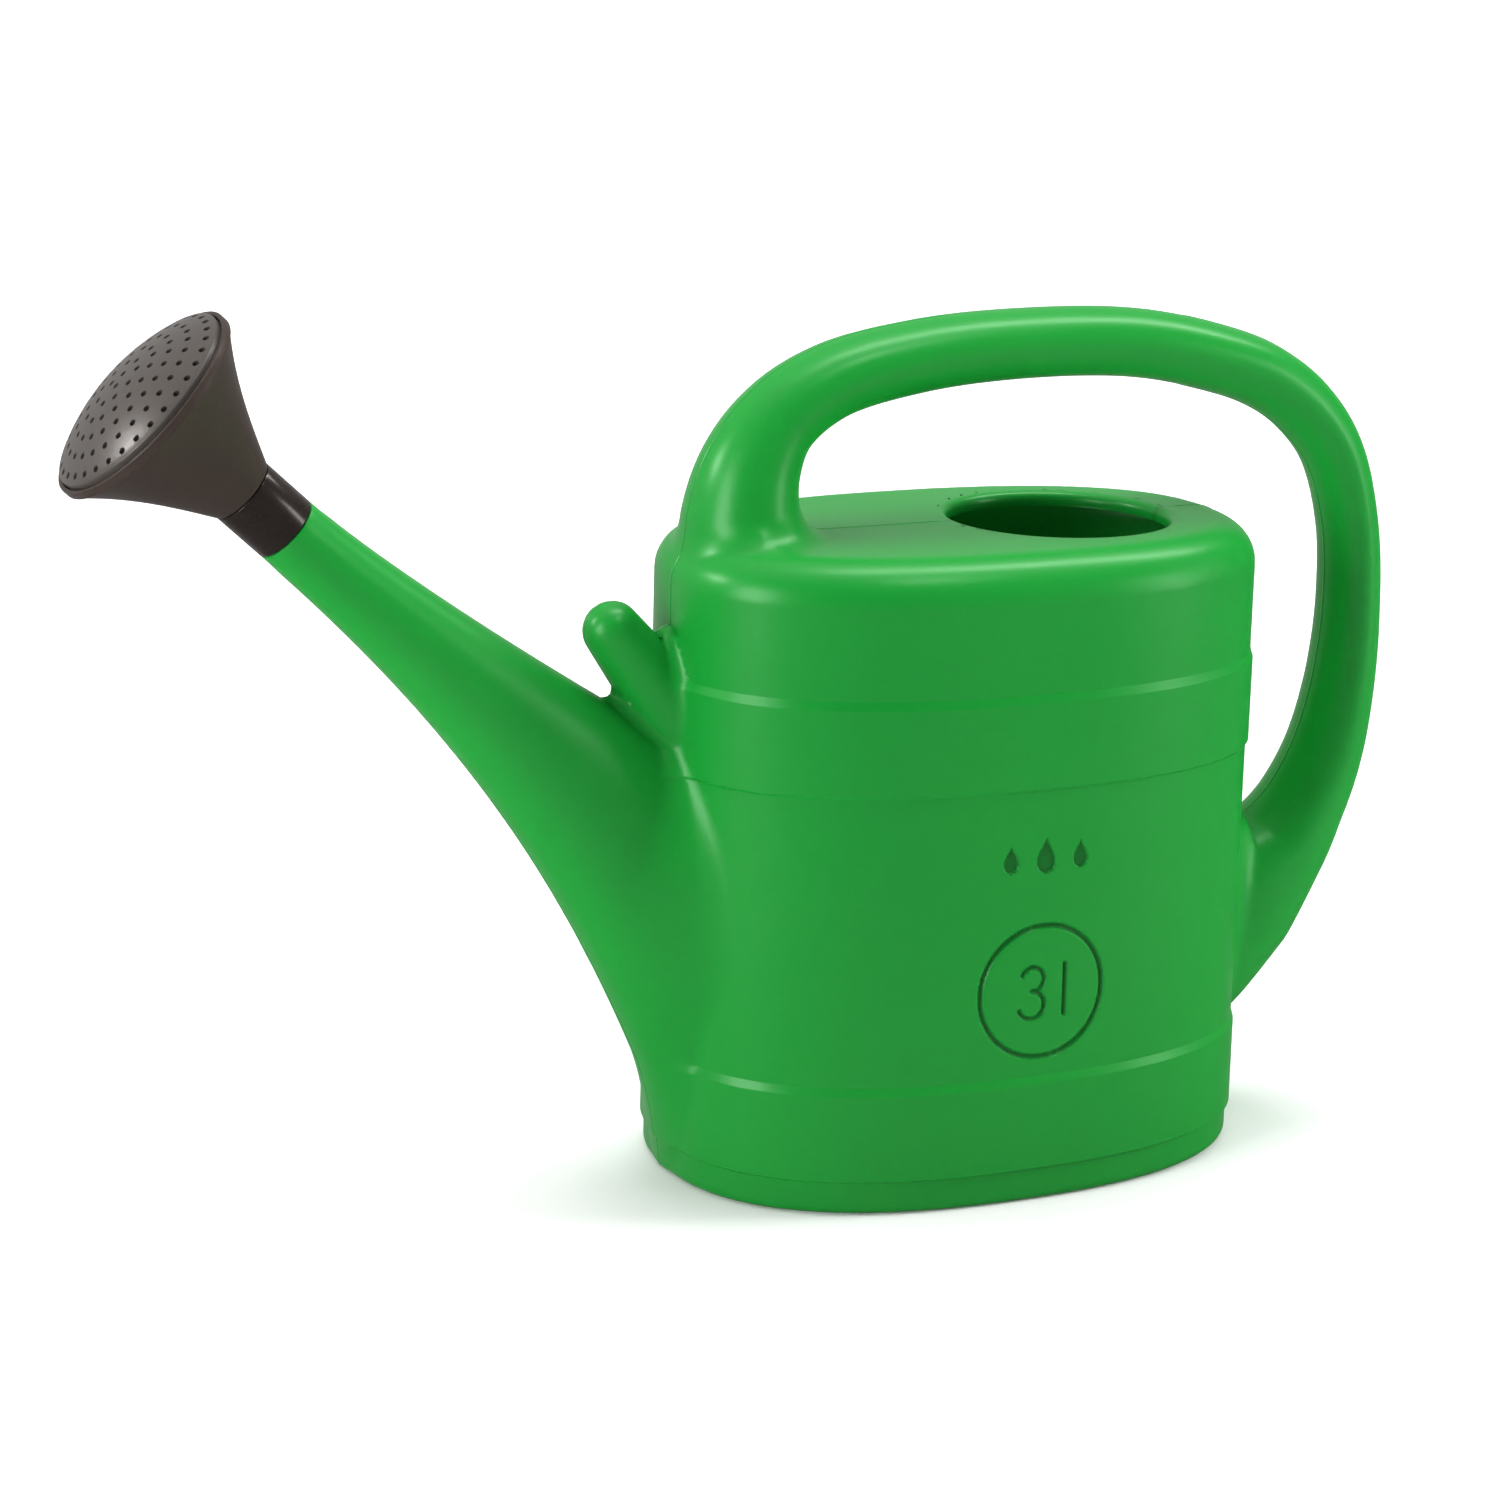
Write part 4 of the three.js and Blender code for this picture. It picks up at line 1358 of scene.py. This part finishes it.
# Roughness stays wholly above 0.28 or wholly below 0.27 in each finish, because the noise
# filter of the render makes patches where it crosses the two.
GREEN_FINISH = {
    "variation": 0.35, "speckle": 0.25, "scratch": 0.03, "smooth": 0.29, "rough": 0.36,
    "grain": 0.16, "grain_scale": 1400.0, "ripple": 0.03, "specular": 0.38,
    "gleam": (0.7, 1.0, 0.75),
}
GLOSS_FINISH = {
    "variation": 0.3, "speckle": 0.15, "scratch": 0.25, "smooth": 0.16, "rough": 0.24,
    "grain": 0.10, "grain_scale": 1600.0, "ripple": 0.05, "specular": 0.5,
    "gleam": (1.0, 0.95, 0.9),
}
SATIN_FINISH = {
    "variation": 0.5, "speckle": 0.3, "scratch": 0.20, "smooth": 0.32, "rough": 0.45,
    "grain": 0.35, "grain_scale": 1100.0, "ripple": 0.05, "specular": 0.18,
    "gleam": (1.0, 0.95, 0.9),
}
FACE_FINISH = {
    "variation": 0.5, "speckle": 0.3, "scratch": 0.15, "smooth": 0.30, "rough": 0.4,
    "grain": 0.25, "grain_scale": 1300.0, "ripple": 0.12, "specular": 0.4,
    "gleam": (1.0, 0.95, 0.9),
}


def lighter(base, factor):
    return tuple(min(part * factor, 1.0) for part in base)


# ---- Finishing a piece ----

def place_piece(name, mesh, body, replaced):
    mesh.name = name
    piece = bpy.data.objects.new(name, mesh)
    bpy.context.collection.objects.link(piece)
    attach(piece, body)
    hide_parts(*replaced)
    return piece


def on_spout(mesh):
    """Turn a mesh built about +Z on to the spout's axis, from the shoulder out."""
    turn = Vector((0, 0, 1)).rotation_difference(SPOUT_AXIS).to_matrix().to_4x4()
    mesh.transform(Matrix.Translation(SPOUT_SHOULDER) @ turn)
    mesh.update()


def smooth_by_angle(mesh, degrees):
    mesh.shade_smooth()
    mesh.set_sharp_from_angle(angle=math.radians(degrees))


# ---- Operators ----

class OBJECT_OT_can_body(bpy.types.Operator):
    """Build the green can: tank, spout, handle and rose peg as one moulding"""
    bl_idname = "object.watering_can_body"
    bl_label = "Can body"

    def execute(self, context):
        looks = context.scene.watering_looks
        mesh = can_mesh(context.scene.watering_can)
        store_painted_shade_depth(mesh, context.scene.watering_can)
        material = moulded("green_moulding", looks.green, looks.green_light, GREEN_FINISH)
        mesh.materials.append(material)
        place_piece(
            "can_body", mesh, "can",
            ("tank_base", "tank_wall", "tank_deck", "spout", "spigot", "handle", "rose_peg"))
        return {"FINISHED"}


class OBJECT_OT_rose(bpy.types.Operator):
    """Build the rose's collar and funnel"""
    bl_idname = "object.watering_can_rose"
    bl_label = "Rose collar and funnel"

    def execute(self, context):
        can = context.scene.watering_can
        rose = context.scene.watering_rose
        looks = context.scene.watering_looks
        collar = turned_mesh("rose_sleeve", softened(collar_profile(can, rose), 0.35 * MM), 96)
        smooth_by_angle(collar, 40)
        on_spout(collar)
        gloss = moulded("black_gloss", looks.black, lighter(looks.black, 3), GLOSS_FINISH)
        collar.materials.append(gloss)
        place_piece("rose_sleeve", collar, "collar", ("rose_collar",))
        funnel = turned_mesh("rose_cone", softened(funnel_profile(can, rose), 0.4 * MM), 128)
        smooth_by_angle(funnel, 40)
        on_spout(funnel)
        satin = moulded(
            "black_satin", lighter(looks.black, 2.5), lighter(looks.black, 5), SATIN_FINISH)
        funnel.materials.append(satin)
        place_piece("rose_cone", funnel, "rose_head", ("rose_funnel",))
        return {"FINISHED"}


class OBJECT_OT_rose_face(bpy.types.Operator):
    """Build the rose's perforated face with geometry nodes"""
    bl_idname = "object.watering_can_face"
    bl_label = "Rose face"

    def execute(self, context):
        rose = context.scene.watering_rose
        looks = context.scene.watering_looks
        material = moulded("face_grey", looks.grey, lighter(looks.grey, 2), FACE_FINISH)
        plate = turned_mesh("face_plate", face_profile(rose), 96)
        mesh = pierced(plate, rose, material)
        smooth_by_angle(mesh, 38)
        on_spout(mesh)
        place_piece("rose_plate", mesh, "rose_head", ("rose_face",))
        return {"FINISHED"}


class OBJECT_OT_can_stage(bpy.types.Operator):
    """Build the floor, the lights and the camera"""
    bl_idname = "object.watering_can_stage"
    bl_label = "Stage"

    def execute(self, context):
        build_stage(context.scene)
        return {"FINISHED"}


def add_light(name, place, target, size, power):
    data = bpy.data.lights.new(name, "AREA")
    data.shape = "RECTANGLE"
    data.size, data.size_y = size
    data.energy = power
    light = bpy.data.objects.new(name, data)
    light.location = place
    aim = Vector(target) - Vector(place)
    light.rotation_euler = aim.to_track_quat("-Z", "Y").to_euler()
    bpy.context.collection.objects.link(light)
    return light


def floor_material(tint):
    material, graph, surface = new_material("studio_floor")
    place = graph.add("ShaderNodeTexCoord", output=3)
    cloud = noise(graph, place, 3.0, 3.0)
    tone = mix_colour(graph, remap(graph, cloud, 0.3, 0.7, 0.0, 1.0), tint, lighter(tint, 1.02))
    graph.tree.links.new(tone, surface.inputs["Base Color"])
    grain = noise(graph, place, 400.0, 3.0)
    rough = remap(graph, grain, 0.3, 0.7, 0.75, 0.85)
    graph.tree.links.new(rough, surface.inputs["Roughness"])
    away = graph.add("ShaderNodeVectorMath", {0: place}, output=1, operation="LENGTH")
    glow = remap(graph, away, 0.3, 2.6, 0.06, 1.1)
    surface.inputs["Emission Color"].default_value = (1, 1, 1, 1)
    graph.tree.links.new(glow, surface.inputs["Emission Strength"])
    return material


def studio_world(stage):
    """Lit wall behind the object and a dim room elsewhere; plain white where it is seen."""
    world = bpy.data.worlds.new("studio")
    world.use_nodes = True
    tree = world.node_tree
    graph = Graph(tree)
    heading = graph.add("ShaderNodeTexCoord", output=0)
    away = (-0.2, 0.9, 0.35)
    facing = graph.add(
        "ShaderNodeVectorMath", {0: heading, 1: away}, output=1, operation="DOT_PRODUCT")
    strength = remap(graph, facing, 0.1, 0.85, stage.room_light, stage.backdrop_light)
    seen = graph.add("ShaderNodeLightPath")
    strength = graph.math("MAXIMUM", strength, seen)
    background = tree.nodes["Background"]
    background.inputs["Color"].default_value = (1, 1, 1, 1)
    tree.links.new(strength, background.inputs["Strength"])
    return world


def build_stage(scene):
    stage = scene.watering_stage
    work = bmesh.new()
    bmesh.ops.create_grid(work, x_segments=8, y_segments=8, size=9.0)
    mesh = bpy.data.meshes.new("studio_floor")
    work.to_mesh(mesh)
    work.free()
    mesh.materials.append(floor_material(scene.watering_looks.floor))
    floor = bpy.data.objects.new("studio_floor", mesh)
    bpy.context.collection.objects.link(floor)
    floor.visible_glossy = False

    middle = (0.0, 0.0, 0.12)
    # The overhead and right boxes light the can without being seen in its reflections.
    add_light("left_box", (-1.5, -0.45, 0.5), middle, (0.7, 0.9), 18)
    above = add_light("overhead", (0.0, 0.3, 1.7), middle, (1.6, 1.4), 40)
    right = add_light("right_box", (1.6, -0.42, 0.7), middle, (0.5, 1.0), 30)
    above.visible_glossy = False
    right.visible_glossy = False
    # Seen in reflections only, for the highlights.
    for name, place, size, power in (
        ("edge_strip", (0.5, 0.05, 1.25), (0.12, 1.2), 9),
        ("side_strip", (1.45, -0.95, 0.45), (0.25, 0.9), 6),
        ("rose_gleam", (-1.05, 0.44, 0.72), (0.14, 0.14), 4),
        ("root_gleam", (0.25, -0.55, 1.2), (0.2, 0.15), 2),
    ):
        gleam = add_light(name, place, middle, size, power)
        gleam.visible_diffuse = False
    add_light("tank_glow", (0.01, 0.0, 0.02), (0.01, 0.0, 0.2), (0.04, 0.04), 0.05)
    scene.world = studio_world(stage)
    scene.view_settings.view_transform = "Standard"

    forward = Vector((
        math.sin(stage.azimuth) * math.cos(stage.elevation),
        math.cos(stage.azimuth) * math.cos(stage.elevation),
        -math.sin(stage.elevation),
    ))
    data = bpy.data.cameras.new("camera")
    data.lens = stage.lens
    data.sensor_width = 36.0
    data.clip_start = 0.05
    camera = bpy.data.objects.new("camera", data)
    turn = forward.to_track_quat("-Z", "Y").to_matrix() @ Matrix.Rotation(stage.roll, 3, "Z")
    camera.matrix_world = Matrix.Translation(
        Vector(stage.target) - forward * stage.distance) @ turn.to_4x4()
    bpy.context.collection.objects.link(camera)
    scene.camera = camera


class VIEW3D_PT_watering_can(bpy.types.Panel):
    """Sizes, looks and the steps that build the watering can"""
    bl_label = "Watering can"
    bl_space_type = "VIEW_3D"
    bl_region_type = "UI"
    bl_category = "Watering can"

    def draw(self, context):
        for operator in OPERATORS:
            self.layout.operator(operator.bl_idname)
        for name in ("watering_can", "watering_rose", "watering_looks", "watering_stage"):
            group = getattr(context.scene, name)
            box = self.layout.box()
            for key in group.__annotations__:
                box.prop(group, key)


GROUPS = {
    "watering_can": CanSizes,
    "watering_rose": RoseSizes,
    "watering_looks": Looks,
    "watering_stage": StageSizes,
}
OPERATORS = (OBJECT_OT_can_body, OBJECT_OT_rose, OBJECT_OT_rose_face, OBJECT_OT_can_stage)


def register():
    for cls in (*GROUPS.values(), *OPERATORS, VIEW3D_PT_watering_can):
        bpy.utils.register_class(cls)
    for name, group in GROUPS.items():
        setattr(bpy.types.Scene, name, PointerProperty(type=group))


def unregister():
    for name in GROUPS:
        delattr(bpy.types.Scene, name)
    for cls in (VIEW3D_PT_watering_can, *reversed(OPERATORS), *GROUPS.values()):
        bpy.utils.unregister_class(cls)


def main():
    register()
    bpy.ops.object.watering_can_stage()
    bpy.ops.object.watering_can_body()
    bpy.ops.object.watering_can_rose()
    bpy.ops.object.watering_can_face()


if __name__ == "__main__":
    main()
